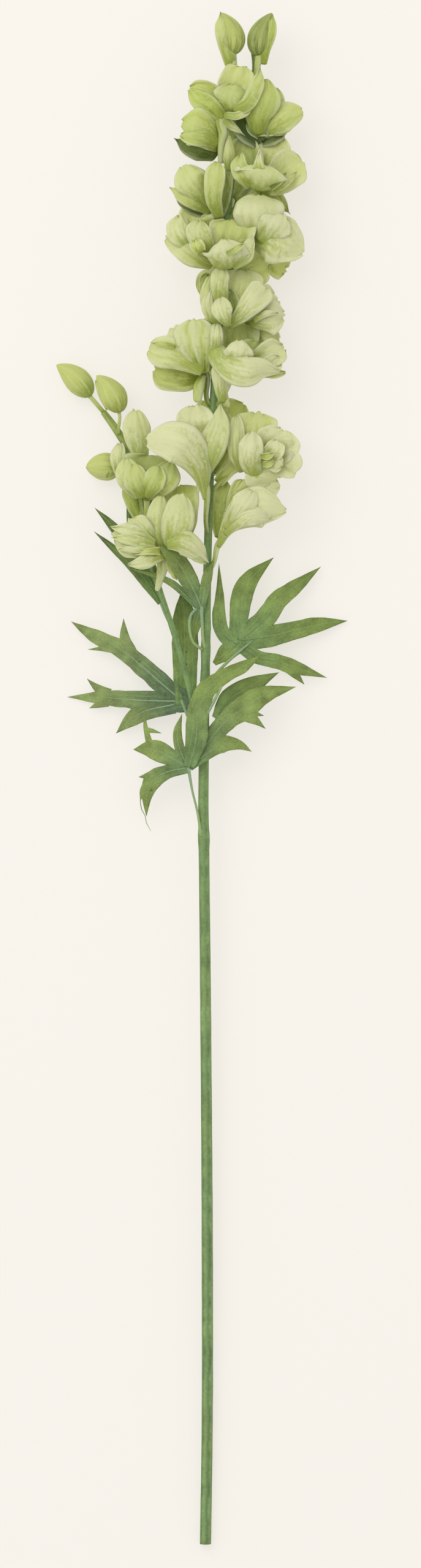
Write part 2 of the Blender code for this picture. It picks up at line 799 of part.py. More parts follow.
def leaf_sheet(name, facts, collection, helpers):
    """One sheet of a leaf: its lobes joined flat, cut into strips, bent and thickened."""
    plates = [lobe[:2] for lobe in facts["lobes"]] + facts["teeth"]
    first = lobe_plate(name, *plates[0], collection)
    for k, (points, widths) in enumerate(plates[1:]):
        lobe_plate(f"{name}{k}", points, widths, helpers)
    grid = bmesh.new()
    grid.from_mesh(joined(first, helpers))
    for vert in grid.verts:
        vert.co /= MM
    below = [face for face in grid.faces if face.normal.z < 0.5]
    bmesh.ops.delete(grid, geom=below, context="FACES")
    bmesh.ops.dissolve_limit(grid, angle_limit=0.01, verts=grid.verts, edges=grid.edges)
    for direction in (Vector((1, 0, 0)), Vector((0, 1, 0))):
        reach = [vert.co.dot(direction) for vert in grid.verts]
        cut = min(reach) + LEAF_STRIP
        while cut < max(reach) - 1:
            everything = list(grid.verts) + list(grid.edges) + list(grid.faces)
            place = direction * cut
            bmesh.ops.bisect_plane(grid, geom=everything, plane_co=place, plane_no=direction, dist=0.2)
            cut += LEAF_STRIP
    for vert in grid.verts:
        vert.co.z = blade_height(facts["lobes"], vert.co)
    return sheet(name, grid, LEAF_THICKNESS, collection)


def leaf(name, collection, helpers):
    """A leaf: its sheets and its stalk as one grown piece."""
    facts = LEAVES[name]
    sheets = [leaf_sheet(f"sheet{k}", rows, collection, helpers) for k, rows in enumerate(facts["sheets"])]
    for more in sheets[1:]:
        collection.objects.unlink(more)
        helpers.objects.link(more)
    knots = [Vector(p) for p in facts["stalk"]]
    start, lifted = foot_on(name, facts["foot"], knots[-1])
    points = smooth_path([*knots, lifted], 12) + [start]
    tube("stalk", points, [LEAF_STALK_RADIUS] * len(points), 1, helpers)
    return link(f"leaf_{name}", without_scraps(joined(sheets[0], helpers)), collection)


def rod(name, rows, path, roundness, collection):
    """The stalk or the side branch."""
    return tube(name, path, [radius_at(rows, place) for place in path], roundness, collection)


def finish(name, colour, roughness):
    """A plain material of the piece's own colour."""
    made = bpy.data.materials.new(name)
    made.use_nodes = True
    shader = made.node_tree.nodes["Principled BSDF"]
    shader.inputs["Base Color"].default_value = (*colour, 1)
    shader.inputs["Roughness"].default_value = roughness
    shader.inputs["Metallic"].default_value = 0
    return made


def stand_on_table(nodes, collection):
    """Parents every node to an empty, with the middle of the part's underside at the origin."""
    root = link("delphinium", None, collection)
    corners = [vert.co for node in nodes for vert in node.data.vertices]
    low = [min(corner[k] for corner in corners) for k in range(3)]
    high = [max(corner[k] for corner in corners) for k in range(3)]
    root.location = (-(low[0] + high[0]) / 2, -(low[1] + high[1]) / 2, -low[2])
    for node in nodes:
        node.parent = root


def build():
    for old in list(bpy.data.objects):
        bpy.data.objects.remove(old)
    scene = bpy.context.scene.collection
    parts = bpy.data.collections.new("delphinium")
    helpers = bpy.data.collections.new("helpers")
    scene.children.link(parts)
    scene.children.link(helpers)
    finishes = {name: finish(name, *facts) for name, facts in FINISHES.items()}
    stem = rod("stem", STEM, STEM_PATH, 3, parts)
    branch = rod("side_branch", SIDE_BRANCH, BRANCH_PATH, 2, parts)
    made = {
        "stem": [stem, branch],
        "petal": [floret(name, parts, helpers) for name in BLOOMS],
        "bud": [bud(name, parts, helpers) for name in BUDS],
        "leaf": [leaf(name, parts, helpers) for name in LEAVES],
    }
    for kind, nodes in made.items():
        for node in nodes:
            node.data.materials.clear()
            node.data.materials.append(finishes[kind])
    stand_on_table([node for nodes in made.values() for node in nodes], parts)


build()
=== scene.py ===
import math
import random

import bmesh
import bpy
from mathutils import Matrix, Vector, geometry, noise
from mathutils.bvhtree import BVHTree


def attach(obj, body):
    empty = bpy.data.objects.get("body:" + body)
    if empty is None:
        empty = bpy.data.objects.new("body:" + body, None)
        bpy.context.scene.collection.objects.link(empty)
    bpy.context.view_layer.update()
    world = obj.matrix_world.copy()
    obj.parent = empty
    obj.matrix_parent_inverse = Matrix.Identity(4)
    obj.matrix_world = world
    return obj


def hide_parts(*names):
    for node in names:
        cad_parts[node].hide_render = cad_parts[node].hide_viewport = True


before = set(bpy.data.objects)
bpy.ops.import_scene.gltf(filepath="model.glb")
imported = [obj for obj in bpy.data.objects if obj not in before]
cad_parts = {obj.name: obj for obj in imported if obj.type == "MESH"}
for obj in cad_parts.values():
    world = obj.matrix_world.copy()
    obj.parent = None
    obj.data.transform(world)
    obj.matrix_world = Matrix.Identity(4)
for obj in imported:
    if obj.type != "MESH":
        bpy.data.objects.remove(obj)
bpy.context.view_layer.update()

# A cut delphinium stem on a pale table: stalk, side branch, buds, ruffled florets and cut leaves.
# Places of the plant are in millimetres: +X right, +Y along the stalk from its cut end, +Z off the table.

mm = 0.001


# Where the part lies, and the small tools that every piece uses.

stemFoot = Vector((-0.4, 0.0, 6.2))
stemPoints = [vert.co.copy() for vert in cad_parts["stem"].data.vertices]
lowestPoint = min(point.y for point in stemPoints)
cutEnd = [point for point in stemPoints if point.y < lowestPoint + 1 * mm]
origin = sum(cutEnd, Vector()) / len(cutEnd) - stemFoot * mm

values = ("along", "across", "tone")


def newGrid():
    grid = bmesh.new()
    for value in values:
        grid.verts.layers.float.new(value)
    return grid


def addVerts(grid, points, facts):
    layers = [grid.verts.layers.float[value] for value in values]
    made = []
    for point, numbers in zip(points, facts):
        vert = grid.verts.new(point)
        for layer, number in zip(layers, numbers):
            vert[layer] = number
        made.append(vert)
    return made


def addShell(grid, points, faces, facts, thickness, inside=0, outside=1):
    # a thin solid on both sides of an open surface, with its rim closed
    normals = [Vector() for _ in points]
    for face in faces:
        corner = points[face[0]]
        fans = zip(face[1:], face[2:])
        normal = sum(((points[b] - corner).cross(points[c] - corner) for b, c in fans), Vector())
        for k in face:
            normals[k] += normal
    normals = [normal.normalized() * thickness / 2 for normal in normals]
    over = addVerts(grid, [p + n for p, n in zip(points, normals)], facts)
    under = addVerts(grid, [p - n for p, n in zip(points, normals)], facts)
    edges = set()
    for face in faces:
        grid.faces.new([over[k] for k in face]).material_index = inside
        grid.faces.new([under[k] for k in reversed(face)]).material_index = outside
        edges ^= {frozenset(pair) for pair in zip(face, face[1:] + face[:1])}
    for face in faces:
        for a, b in zip(face, face[1:] + face[:1]):
            if frozenset((a, b)) in edges:
                grid.faces.new([over[b], over[a], under[a], under[b]]).material_index = outside


def headingAt(path, k):
    # from the point before to the point after, or from the end itself
    return path[min(k + 1, len(path) - 1)] - path[max(k - 1, 0)]


def closeRings(grid, rings, material):
    # walls between rings of the same size, and a cap at each end
    for a, b in zip(rings, rings[1:]):
        for n in range(len(a)):
            m = (n + 1) % len(a)
            grid.faces.new([a[n], a[m], b[m], b[n]]).material_index = material
    grid.faces.new(rings[0][::-1]).material_index = material
    grid.faces.new(rings[-1]).material_index = material


def addTube(grid, path, radii, sides, tone, material=1):
    # a round stalk along a path, closed at both ends
    rings = []
    side = None
    for k, here in enumerate(path):
        along = headingAt(path, k).normalized()
        side = along.orthogonal() if side is None else side - along * side.dot(along)
        side.normalize()
        other = along.cross(side)
        turns = [2 * math.pi * n / sides for n in range(sides)]
        ring = [here + (side * math.cos(t) + other * math.sin(t)) * radii[k] for t in turns]
        share = k / (len(path) - 1)
        rings.append(addVerts(grid, ring, [(share, math.cos(t), tone) for t in turns]))
    closeRings(grid, rings, material)


def smoothPath(points, spacing):
    # a Catmull-Rom curve through points of any number of coordinates
    points = [Vector(p) for p in points]
    ends = [points[0] * 2 - points[1], *points, points[-1] * 2 - points[-2]]
    found = [points[0]]
    for a, b, c, d in zip(ends, ends[1:], ends[2:], ends[3:]):
        steps = max(1, round((c - b).length / spacing))
        for k in range(1, steps + 1):
            t = k / steps
            even = 2 * b + (2 * a - 5 * b + 4 * c - d) * t**2
            odd = (c - a) * t + (3 * b - 3 * c + d - a) * t**3
            found.append(0.5 * (even + odd))
    return found


def finishPiece(name, grid, materials, nodes):
    for vert in grid.verts:
        vert.co = origin + vert.co * mm
    mesh = bpy.data.meshes.new(name)
    for face in grid.faces:
        face.smooth = True
    grid.to_mesh(mesh)
    grid.free()
    for material in materials:
        mesh.materials.append(material)
    piece = bpy.data.objects.new(name, mesh)
    bpy.context.scene.collection.objects.link(piece)
    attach(piece, "root")
    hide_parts(*nodes)


# Materials.

def addNode(tree, kind, **settings):
    node = tree.nodes.new(kind)
    for key, value in settings.items():
        setattr(node, key, value)
    return node


def setInputs(node, numbers):
    for label, number in numbers.items():
        node.inputs[label].default_value = number


def wire(tree, start, end):
    tree.links.new(start, end)


def mathNode(tree, operation, first, second=None):
    node = addNode(tree, "ShaderNodeMath", operation=operation)
    for socket, value in zip(node.inputs, (first, second)):
        if value is None:
            continue
        if isinstance(value, (int, float)):
            socket.default_value = value
        else:
            wire(tree, value, socket)
    return node.outputs[0]


def mixColours(tree, factor, first, second, blend="MIX"):
    node = addNode(tree, "ShaderNodeMix", data_type="RGBA", blend_type=blend)
    sockets = (node.inputs[0], node.inputs[6], node.inputs[7])  # the factor and both colours
    for socket, value in zip(sockets, (factor, first, second)):
        if isinstance(value, tuple):
            socket.default_value = (*value, 1)
        elif isinstance(value, (int, float)):
            socket.default_value = value
        else:
            wire(tree, value, socket)
    return node.outputs[2]  # the mixed colour


def newGroup(name, inputs, outputs):
    group = bpy.data.node_groups.new(name, "ShaderNodeTree")
    for labels, way in ((inputs, "INPUT"), (outputs, "OUTPUT")):
        for label in labels:
            group.interface.new_socket(label, in_out=way, socket_type="NodeSocketFloat")
    return group, addNode(group, "NodeGroupInput"), addNode(group, "NodeGroupOutput")


noiseMiddle = 0.5  # a texture's noise runs from 0 to 1
noiseDetail = 3

veinForm = {
    "wobbleScale": 90,
    "fadeFrom": 1.15,
    "streakAcross": 2.6,
    "streakAlong": 1.3,
    "streakDrift": 5,
    "streakScale": 1.6,
    "rimStart": 0.55,
}


def makeVeinGroup():
    # wandering lines from base to tip, uneven streaks beside them, and a rim at both edges
    group, given, result = newGroup("veins", ["Count", "Wander", "Sharpness"], ["Lines", "Streaks", "Rim"])
    along = addNode(group, "ShaderNodeAttribute", attribute_name="along").outputs["Fac"]
    across = addNode(group, "ShaderNodeAttribute", attribute_name="across").outputs["Fac"]
    place = addNode(group, "ShaderNodeTexCoord").outputs["Object"]
    wobble = addNode(group, "ShaderNodeTexNoise")
    setInputs(wobble, {"Scale": veinForm["wobbleScale"]})
    wire(group, place, wobble.inputs["Vector"])
    sway = mathNode(group, "SUBTRACT", wobble.outputs["Fac"], noiseMiddle)
    bent = mathNode(group, "MULTIPLY", sway, given.outputs["Wander"])
    phase = mathNode(group, "ADD", mathNode(group, "MULTIPLY", across, given.outputs["Count"]), bent)
    quarters = mathNode(group, "MULTIPLY", phase, math.pi / 2)
    wave = mathNode(group, "ABSOLUTE", mathNode(group, "COSINE", quarters))
    lines = mathNode(group, "POWER", wave, given.outputs["Sharpness"])
    fade = mathNode(group, "SUBTRACT", veinForm["fadeFrom"], along)
    wire(group, mathNode(group, "MULTIPLY", lines, fade), result.inputs["Lines"])
    apart = addNode(group, "ShaderNodeCombineXYZ")
    wire(group, mathNode(group, "MULTIPLY", across, veinForm["streakAcross"]), apart.inputs[0])
    wire(group, mathNode(group, "MULTIPLY", along, veinForm["streakAlong"]), apart.inputs[1])
    wire(group, mathNode(group, "MULTIPLY", wobble.outputs["Fac"], veinForm["streakDrift"]), apart.inputs[2])
    streaks = addNode(group, "ShaderNodeTexNoise")
    setInputs(streaks, {"Scale": veinForm["streakScale"], "Detail": noiseDetail})
    wire(group, apart.outputs[0], streaks.inputs["Vector"])
    wire(group, streaks.outputs["Fac"], result.inputs["Streaks"])
    rim = addNode(group, "ShaderNodeMapRange", interpolation_type="SMOOTHSTEP")
    setInputs(rim, {"From Min": veinForm["rimStart"]})
    wire(group, mathNode(group, "ABSOLUTE", across), rim.inputs["Value"])
    wire(group, rim.outputs["Result"], result.inputs["Rim"])
    return group


def makeMottleGroup():
    # soft blotches with a finer grain in them
    group, given, result = newGroup("mottle", ["Scale", "Grain"], ["Blotch", "Fine"])
    place = addNode(group, "ShaderNodeTexCoord").outputs["Object"]
    for label, size in (("Blotch", "Scale"), ("Fine", "Grain")):
        cloud = addNode(group, "ShaderNodeTexNoise")
        setInputs(cloud, {"Detail": noiseDetail})
        wire(group, place, cloud.inputs["Vector"])
        wire(group, given.outputs[size], cloud.inputs["Scale"])
        wire(group, cloud.outputs["Fac"], result.inputs[label])
    return group


veinGroup = makeVeinGroup()
mottleGroup = makeMottleGroup()


def useGroup(tree, group, **numbers):
    node = addNode(tree, "ShaderNodeGroup", node_tree=group)
    setInputs(node, numbers)
    return node


skinForm = {
    "streakTone": -0.5,
    "veinHeight": 0.6,
    "grainHeight": 0.5,
    "bumpDepth": 0.3,
    "glowSpread": (1.0, 1.0, 0.5),
    "glowDepth": 1.5,
    "specular": 0.3,
}


def tissueMaterial(name, facts):
    # plant skin: colour from base to tip, greener as tone goes to 1 and deeper above it, veined and blotched
    material = bpy.data.materials.new(name)
    material.use_nodes = True
    tree = material.node_tree
    shader = tree.nodes["Principled BSDF"]
    along = addNode(tree, "ShaderNodeAttribute", attribute_name="along").outputs["Fac"]
    tone = addNode(tree, "ShaderNodeAttribute", attribute_name="tone").outputs["Fac"]
    veins = useGroup(tree, veinGroup, Count=facts["veins"], Wander=facts["wander"], Sharpness=facts["sharp"])
    mottle = useGroup(tree, mottleGroup, Scale=facts["blotch"], Grain=facts["grain"])
    lines, blotch, fine = veins.outputs["Lines"], mottle.outputs["Blotch"], mottle.outputs["Fine"]
    reach = addNode(tree, "ShaderNodeMapRange", interpolation_type="SMOOTHSTEP")
    setInputs(reach, {"From Min": facts["fade"][0], "From Max": facts["fade"][1]})
    uneven = mathNode(tree, "SUBTRACT", veins.outputs["Streaks"], noiseMiddle)
    spread = mathNode(tree, "MULTIPLY", uneven, facts["streak"])
    wire(tree, mathNode(tree, "ADD", along, spread), reach.inputs["Value"])
    pale = mixColours(tree, reach.outputs["Result"], facts["base"], facts["tip"])
    green = mixColours(tree, reach.outputs["Result"], facts["greenBase"], facts["greenTip"])
    tone = mathNode(tree, "ADD", tone, mathNode(tree, "MULTIPLY", spread, skinForm["streakTone"]))
    # above tone 1 the colour turns deep green: partly the plant's own dark green, partly painted shade on
    # pieces that lie behind others or in recesses
    deepGreenAndShade = mathNode(tree, "MAXIMUM", mathNode(tree, "SUBTRACT", tone, 1), 0)
    leafy = mathNode(tree, "MAXIMUM", mathNode(tree, "MINIMUM", tone, 1), 0)
    colour = mixColours(tree, leafy, pale, green)
    colour = mixColours(tree, deepGreenAndShade, colour, facts["deepGreenAndShade"])
    rim = mathNode(tree, "MULTIPLY", veins.outputs["Rim"], facts["rim"])
    colour = mixColours(tree, rim, colour, facts["rimColour"])
    drawn = mathNode(tree, "MULTIPLY", lines, facts["veinStrength"])
    colour = mixColours(tree, drawn, colour, facts["veinColour"])
    cloudy = mathNode(tree, "MULTIPLY", blotch, facts["mottle"])
    shade = mathNode(tree, "ADD", cloudy, 1 - facts["mottle"] / 2)
    grainy = mathNode(tree, "MULTIPLY", mathNode(tree, "SUBTRACT", fine, noiseMiddle), facts["speckle"])
    shade = mathNode(tree, "ADD", shade, grainy)
    combine = addNode(tree, "ShaderNodeCombineColor")
    for socket in combine.inputs:
        wire(tree, shade, socket)
    colour = mixColours(tree, 1.0, colour, combine.outputs[0], "MULTIPLY")
    wire(tree, colour, shader.inputs["Base Color"])
    raised = mathNode(tree, "MULTIPLY", lines, skinForm["veinHeight"])
    pitted = mathNode(tree, "MULTIPLY", fine, skinForm["grainHeight"])
    height = mathNode(tree, "ADD", raised, pitted)
    bump = addNode(tree, "ShaderNodeBump")
    setInputs(bump, {"Strength": facts["bump"], "Distance": skinForm["bumpDepth"] * mm})
    wire(tree, height, bump.inputs["Height"])
    wire(tree, bump.outputs["Normal"], shader.inputs["Normal"])
    setInputs(shader, {
        "Roughness": facts["roughness"],
        "Subsurface Weight": facts["glow"],
        "Subsurface Radius": skinForm["glowSpread"],
        "Subsurface Scale": skinForm["glowDepth"] * mm,
        "Specular IOR Level": skinForm["specular"],
    })
    return material


# petals run from olive at the foot to pale cream at the tip: partly their own colour, partly painted shade
# deep inside the floret
petalInside = {
    "base": (0.41, 0.465, 0.10), "tip": (0.69, 0.705, 0.42), "greenBase": (0.30, 0.36, 0.05),
    "greenTip": (0.54, 0.60, 0.20), "deepGreenAndShade": (0.06, 0.10, 0.02), "fade": (-0.05, 0.75), "streak": 1.1,
    "veins": 7.0, "wander": 2.6, "sharp": 4.0, "veinStrength": 0.13, "veinColour": (0.36, 0.44, 0.14),
    "rim": 0.45, "rimColour": (0.72, 0.74, 0.50), "blotch": 90.0, "grain": 700.0, "mottle": 0.14,
    "speckle": 0.10, "bump": 0.25, "roughness": 0.6, "glow": 0.25,
}
petalOutside = dict(
    petalInside, base=(0.34, 0.41, 0.08), tip=(0.655, 0.675, 0.385), greenTip=(0.46, 0.54, 0.14)
)
budSkin = dict(
    petalInside, base=(0.34, 0.42, 0.09), tip=(0.58, 0.62, 0.24), greenBase=(0.31, 0.38, 0.06),
    greenTip=(0.49, 0.55, 0.15), veins=8.0, veinStrength=0.16, fade=(0.0, 0.4), bump=0.5, rim=0.2,
)
# leaves run from dark at the palm to lighter along the lobes: partly their own colour, partly painted shade
# where the lobes meet
leafSkin = {
    "base": (0.106, 0.172, 0.080), "tip": (0.225, 0.29, 0.105), "greenBase": (0.18, 0.28, 0.08),
    "greenTip": (0.22, 0.30, 0.07), "deepGreenAndShade": (0.045, 0.085, 0.02), "fade": (0.1, 0.7),
    "veins": 3.0, "wander": 3.0, "sharp": 6.0, "veinStrength": 0.14, "veinColour": (0.34, 0.44, 0.26),
    "rim": 0.0, "rimColour": (0.12, 0.15, 0.09), "streak": 0.6,
    "blotch": 110.0, "grain": 1100.0, "mottle": 1.2, "speckle": 0.80, "bump": 0.7, "roughness": 0.65,
    "glow": 0.0,
}
leafUnder = dict(leafSkin, base=(0.17, 0.28, 0.16), tip=(0.25, 0.33, 0.15))
leafRib = dict(
    leafSkin, base=(0.32, 0.46, 0.30), tip=(0.30, 0.42, 0.18), greenTip=(0.30, 0.40, 0.14), mottle=0.2,
)
stemSkin = dict(
    leafSkin, base=(0.19, 0.31, 0.13), tip=(0.15, 0.27, 0.11), veins=5.0, wander=2.0, sharp=3.0,
    greenBase=(0.30, 0.36, 0.10), greenTip=(0.32, 0.38, 0.10),
    veinStrength=0.6, veinColour=(0.09, 0.18, 0.06), blotch=90.0, grain=500.0, mottle=1.0, speckle=0.6,
)

flowerFinish = [
    tissueMaterial("petalInside", petalInside),
    tissueMaterial("petalOutside", petalOutside),
    tissueMaterial("budSkin", budSkin),
]
leafFinish = [
    tissueMaterial("leafSkin", leafSkin),
    tissueMaterial("leafUnder", leafUnder),
    tissueMaterial("leafRib", leafRib),
]
stemFinish = [
    tissueMaterial("stemSkin", stemSkin),
    tissueMaterial("stemEnd", dict(stemSkin, base=(0.30, 0.24, 0.12))),
]
print("materials made")


# The stalk and the side branch.

mainStalk = {
    "points": [
        (-0.4, 0, 6.2), (0.8, 90, 9.0), (0.8, 210, 12.9), (-0.2, 350, 17.3), (-1.2, 450, 21.2),
        (-1.6, 494, 22.9), (-0.4, 570, 25.8), (0.8, 630, 27.8), (2.0, 678, 29.3), (3.6, 722, 30.3),
        (5.6, 758, 30.8), (9.2, 810, 31.2), (14.4, 874, 31.2), (20.8, 922, 30.6), (25.6, 967, 30.0),
    ],
    "radii": [3.6, 3.6, 3.6, 3.5, 3.4, 3.3, 2.9, 2.6, 2.6, 2.6, 2.5, 2.4, 2.3, 2.0, 1.4],
    "spacing": 4,
    "ribs": 7,
    "ribDepth": 0.16,
    "swellings": [(463, 0.5), (528, 0.45), (565, 0.4), (586, 0.4), (600, 0.35)],
    "greening": (900, 1100),
}
sideBranch = {
    "points": [
        (-1.6, 520, 25.5), (-5.0, 528, 27.0), (-8.5, 550, 31.0), (-14.4, 574, 32.0), (-20.8, 597, 32.0),
        (-26.4, 614, 31.5), (-32.0, 631, 30.5), (-37.2, 651, 28.5), (-39.6, 671, 26.0),
        (-43.0, 694, 22.5), (-49.0, 714, 18.5), (-58.4, 730, 15.0), (-67.0, 742, 13.0),
    ],
    "radii": [1.4, 1.7, 1.7, 1.7, 1.7, 1.7, 2.0, 2.2, 2.4, 2.5, 2.6, 2.5, 2.0],
    "spacing": 4,
    "ribs": 5,
    "ribDepth": 0.12,
    "swellings": [(600, 0.3), (640, 0.3), (694, 0.3)],
    "greening": (640, 700),
}


rodForm = {
    "sides": 28,
    "swellReach": 5,
    "twist": 0.004,
    "rough": 0.10,
    "roughAlong": 0.05,
    "roughScale": 1.7,
    "tone": 0.25,
    "toneRough": 0.2,
    "toneScale": 0.02,
    "greenTone": 0.8,
    "length": 1000,
}


def rodPath(facts):
    rows = [(*point, radius) for point, radius in zip(facts["points"], facts["radii"])]
    return [(Vector(row[:3]), row[3]) for row in smoothPath(rows, facts["spacing"])]


def makeRod(name, facts, nodes):
    # a ribbed stalk with swellings, greener towards its upper end
    grid = newGrid()
    sides = rodForm["sides"]
    rings = []
    path = rodPath(facts)
    middles = [row[0] for row in path]
    low, high = facts["greening"]
    for k, (here, radius) in enumerate(path):
        along = headingAt(middles, k).normalized()
        side = Vector((1, 0, 0)) - along * along.x
        side.normalize()
        other = along.cross(side)
        span = rodForm["swellReach"]
        swell = sum(size * math.exp(-(((here.y - at) / span) ** 2)) for at, size in facts["swellings"])
        ring, numbers = [], []
        for n in range(sides):
            turn = 2 * math.pi * n / sides
            groove = facts["ribDepth"] * math.cos(facts["ribs"] * turn + rodForm["twist"] * here.y)
            spot = Vector((math.cos(turn), math.sin(turn), here.y * rodForm["roughAlong"]))
            rough = rodForm["rough"] * noise.noise(spot * rodForm["roughScale"])
            reach = radius + swell + groove + rough
            ring.append(here + (side * math.cos(turn) + other * math.sin(turn)) * reach)
            green = min(1, max(0, (here.y - low) / (high - low)))
            tone = rodForm["tone"] + rodForm["toneRough"] * noise.noise(here * rodForm["toneScale"])
            numbers.append((here.y / rodForm["length"], turn / math.pi, tone + rodForm["greenTone"] * green))
        rings.append(addVerts(grid, ring, numbers))
    for a, b in zip(rings, rings[1:]):
        for n in range(sides):
            m = (n + 1) % sides
            grid.faces.new([a[n], b[n], b[m], a[m]])
    for ring, order in ((rings[0], 1), (rings[-1], -1)):
        grid.faces.new(ring[::order]).material_index = 1
    finishPiece(name, grid, stemFinish, nodes)


makeRod("mainStalk", mainStalk, ["stem"])
makeRod("sideBranch", sideBranch, ["side_branch"])
stalkPath, branchPath = rodPath(mainStalk), rodPath(sideBranch)
print("stalk and side branch made")


stalkForm = {
    "sunk": 0.4,
    "rise": 1.2,
    "out": 0.3,
    "back": 0.35,
    "steps": 10,
    "sides": 12,
}


def stalkStart(branch, height, toward):
    # the point on a rod's surface where a small stalk leaves it
    path = branchPath if branch else stalkPath
    here, radius = min(path, key=lambda row: abs(row[0].y - height))
    outward = Vector((toward.x - here.x, 0, toward.z - here.z)).normalized()
    return here + outward * (radius - stalkForm["sunk"]), outward


def addFootstalk(grid, branch, height, seat, axis, radii, tone):
    # a small stalk that leaves the rod at this height and bows over to the seat
    start, outward = stalkStart(branch, height, seat)
    reach = (seat - start).length
    leaving = start + (outward + Vector((0, stalkForm["rise"], 0))) * reach * stalkForm["out"]
    bow = [start, leaving, seat - axis * reach * stalkForm["back"], seat]
    steps = stalkForm["steps"]
    path = []
    for k in range(steps + 1):
        t = k / steps
        weights = ((1 - t) ** 3, 3 * t * (1 - t) ** 2, 3 * t * t * (1 - t), t**3)
        path.append(sum((p * w for p, w in zip(bow, weights)), Vector()))
    widths = [radii[0] + (radii[1] - radii[0]) * (k / steps) ** 2 for k in range(steps + 1)]
    addTube(grid, path, widths, stalkForm["sides"], tone)


# Petals: rows of a petal are its rib's points with the width at each, and a cup above zero shows its inside.

petalForm = {
    "thickness": 0.3,
    "spacing": 1.2,
    "spread": 1.08,
    "columns": 17,
    "round": 0.26,
    "blunt": 0.94,
    "edgeWave": 0.14,
    "ruffle": 2.2,
    "flutter": 0.9,
    "ragged": 1.3,
    "pleat": 0.14,
    # how much the valleys between pleats are darkened: painted shade in the folds
    "stripe": 0.0,
    "pleats": 9,
    "pleatDrift": 3,
    "noiseReach": 50,
    "capPower": 2.4,
    "tipPower": 4,
    "ragPower": 6,
    "valleyShadePower": 4,
    "middleRuffle": 0.4,
    "steady": 0.5,
    "leastWidth": 0.4,
    "leastBend": 0.05,
    "cupFoot": 1.15,
    "cupLoss": 0.4,
    "pleatLoss": 0.4,
    "valleyShadeLoss": 0.6,
    "edgeNoise": (3.0, 2.0, 0),
    "ruffleNoise": (2.6, 1.5, 3),
    "flutterNoise": (8.0, 4.0, 9),
    "tipNoise": (3.5, 5, 0),
    "ragNoise": (2.0, 11, 0),
}


def petalFrames(places):
    # heading, sideways and inward directions at each point of a rib; sideways stays nearly level
    up = Vector((0, 0, 1))
    overall = places[-1] - places[0]
    overall = Vector((overall.x, overall.y, 0)).normalized()
    frames = []
    for k in range(len(places)):
        heading = headingAt(places, k).normalized()
        flat = Vector((heading.x, heading.y, 0)) + overall * petalForm["steady"]
        side = flat.cross(up)
        side = (side - heading * side.dot(heading)).normalized()
        frames.append((heading, side, side.cross(heading)))
    return frames


claw = {
    "least": 0.25,
    "sunk": 0.7,
    "width": 2.4,
    "leastRow": 0.1,
    "steps": 5,
}


def addClaw(grid, row, tone, thickness):
    # a petal whose foot hangs clear narrows down to the nearest part of its flower
    foot = row[len(row) // 2]
    place = BVHTree.FromBMesh(grid).find_nearest(foot)[0]
    run = foot - place
    if run.length < claw["least"]:
        return
    place = place - run.normalized() * claw["sunk"]
    run = foot - place
    narrow = min(1, claw["width"] / max((row[-1] - row[0]).length, claw["leastRow"]))
    points, facts, faces = [], [], []
    for k in range(claw["steps"] + 1):
        t = k / claw["steps"]
        for j, corner in enumerate(row):
            points.append(place + run * t + (corner - foot) * (narrow + (1 - narrow) * t * t))
            facts.append((0, 2 * j / (len(row) - 1) - 1, tone))
    for k in range(claw["steps"]):
        for j in range(len(row) - 1):
            a = k * len(row) + j
            faces.append([a, a + 1, a + len(row) + 1, a + len(row)])
    addShell(grid, points, faces, facts, thickness)


def ripple(scales, along, across, shift):
    # smooth noise over a petal: its scales hold one number for each way and a layer
    return noise.noise(Vector((along * scales[0], across * scales[1], scales[2])) + shift)


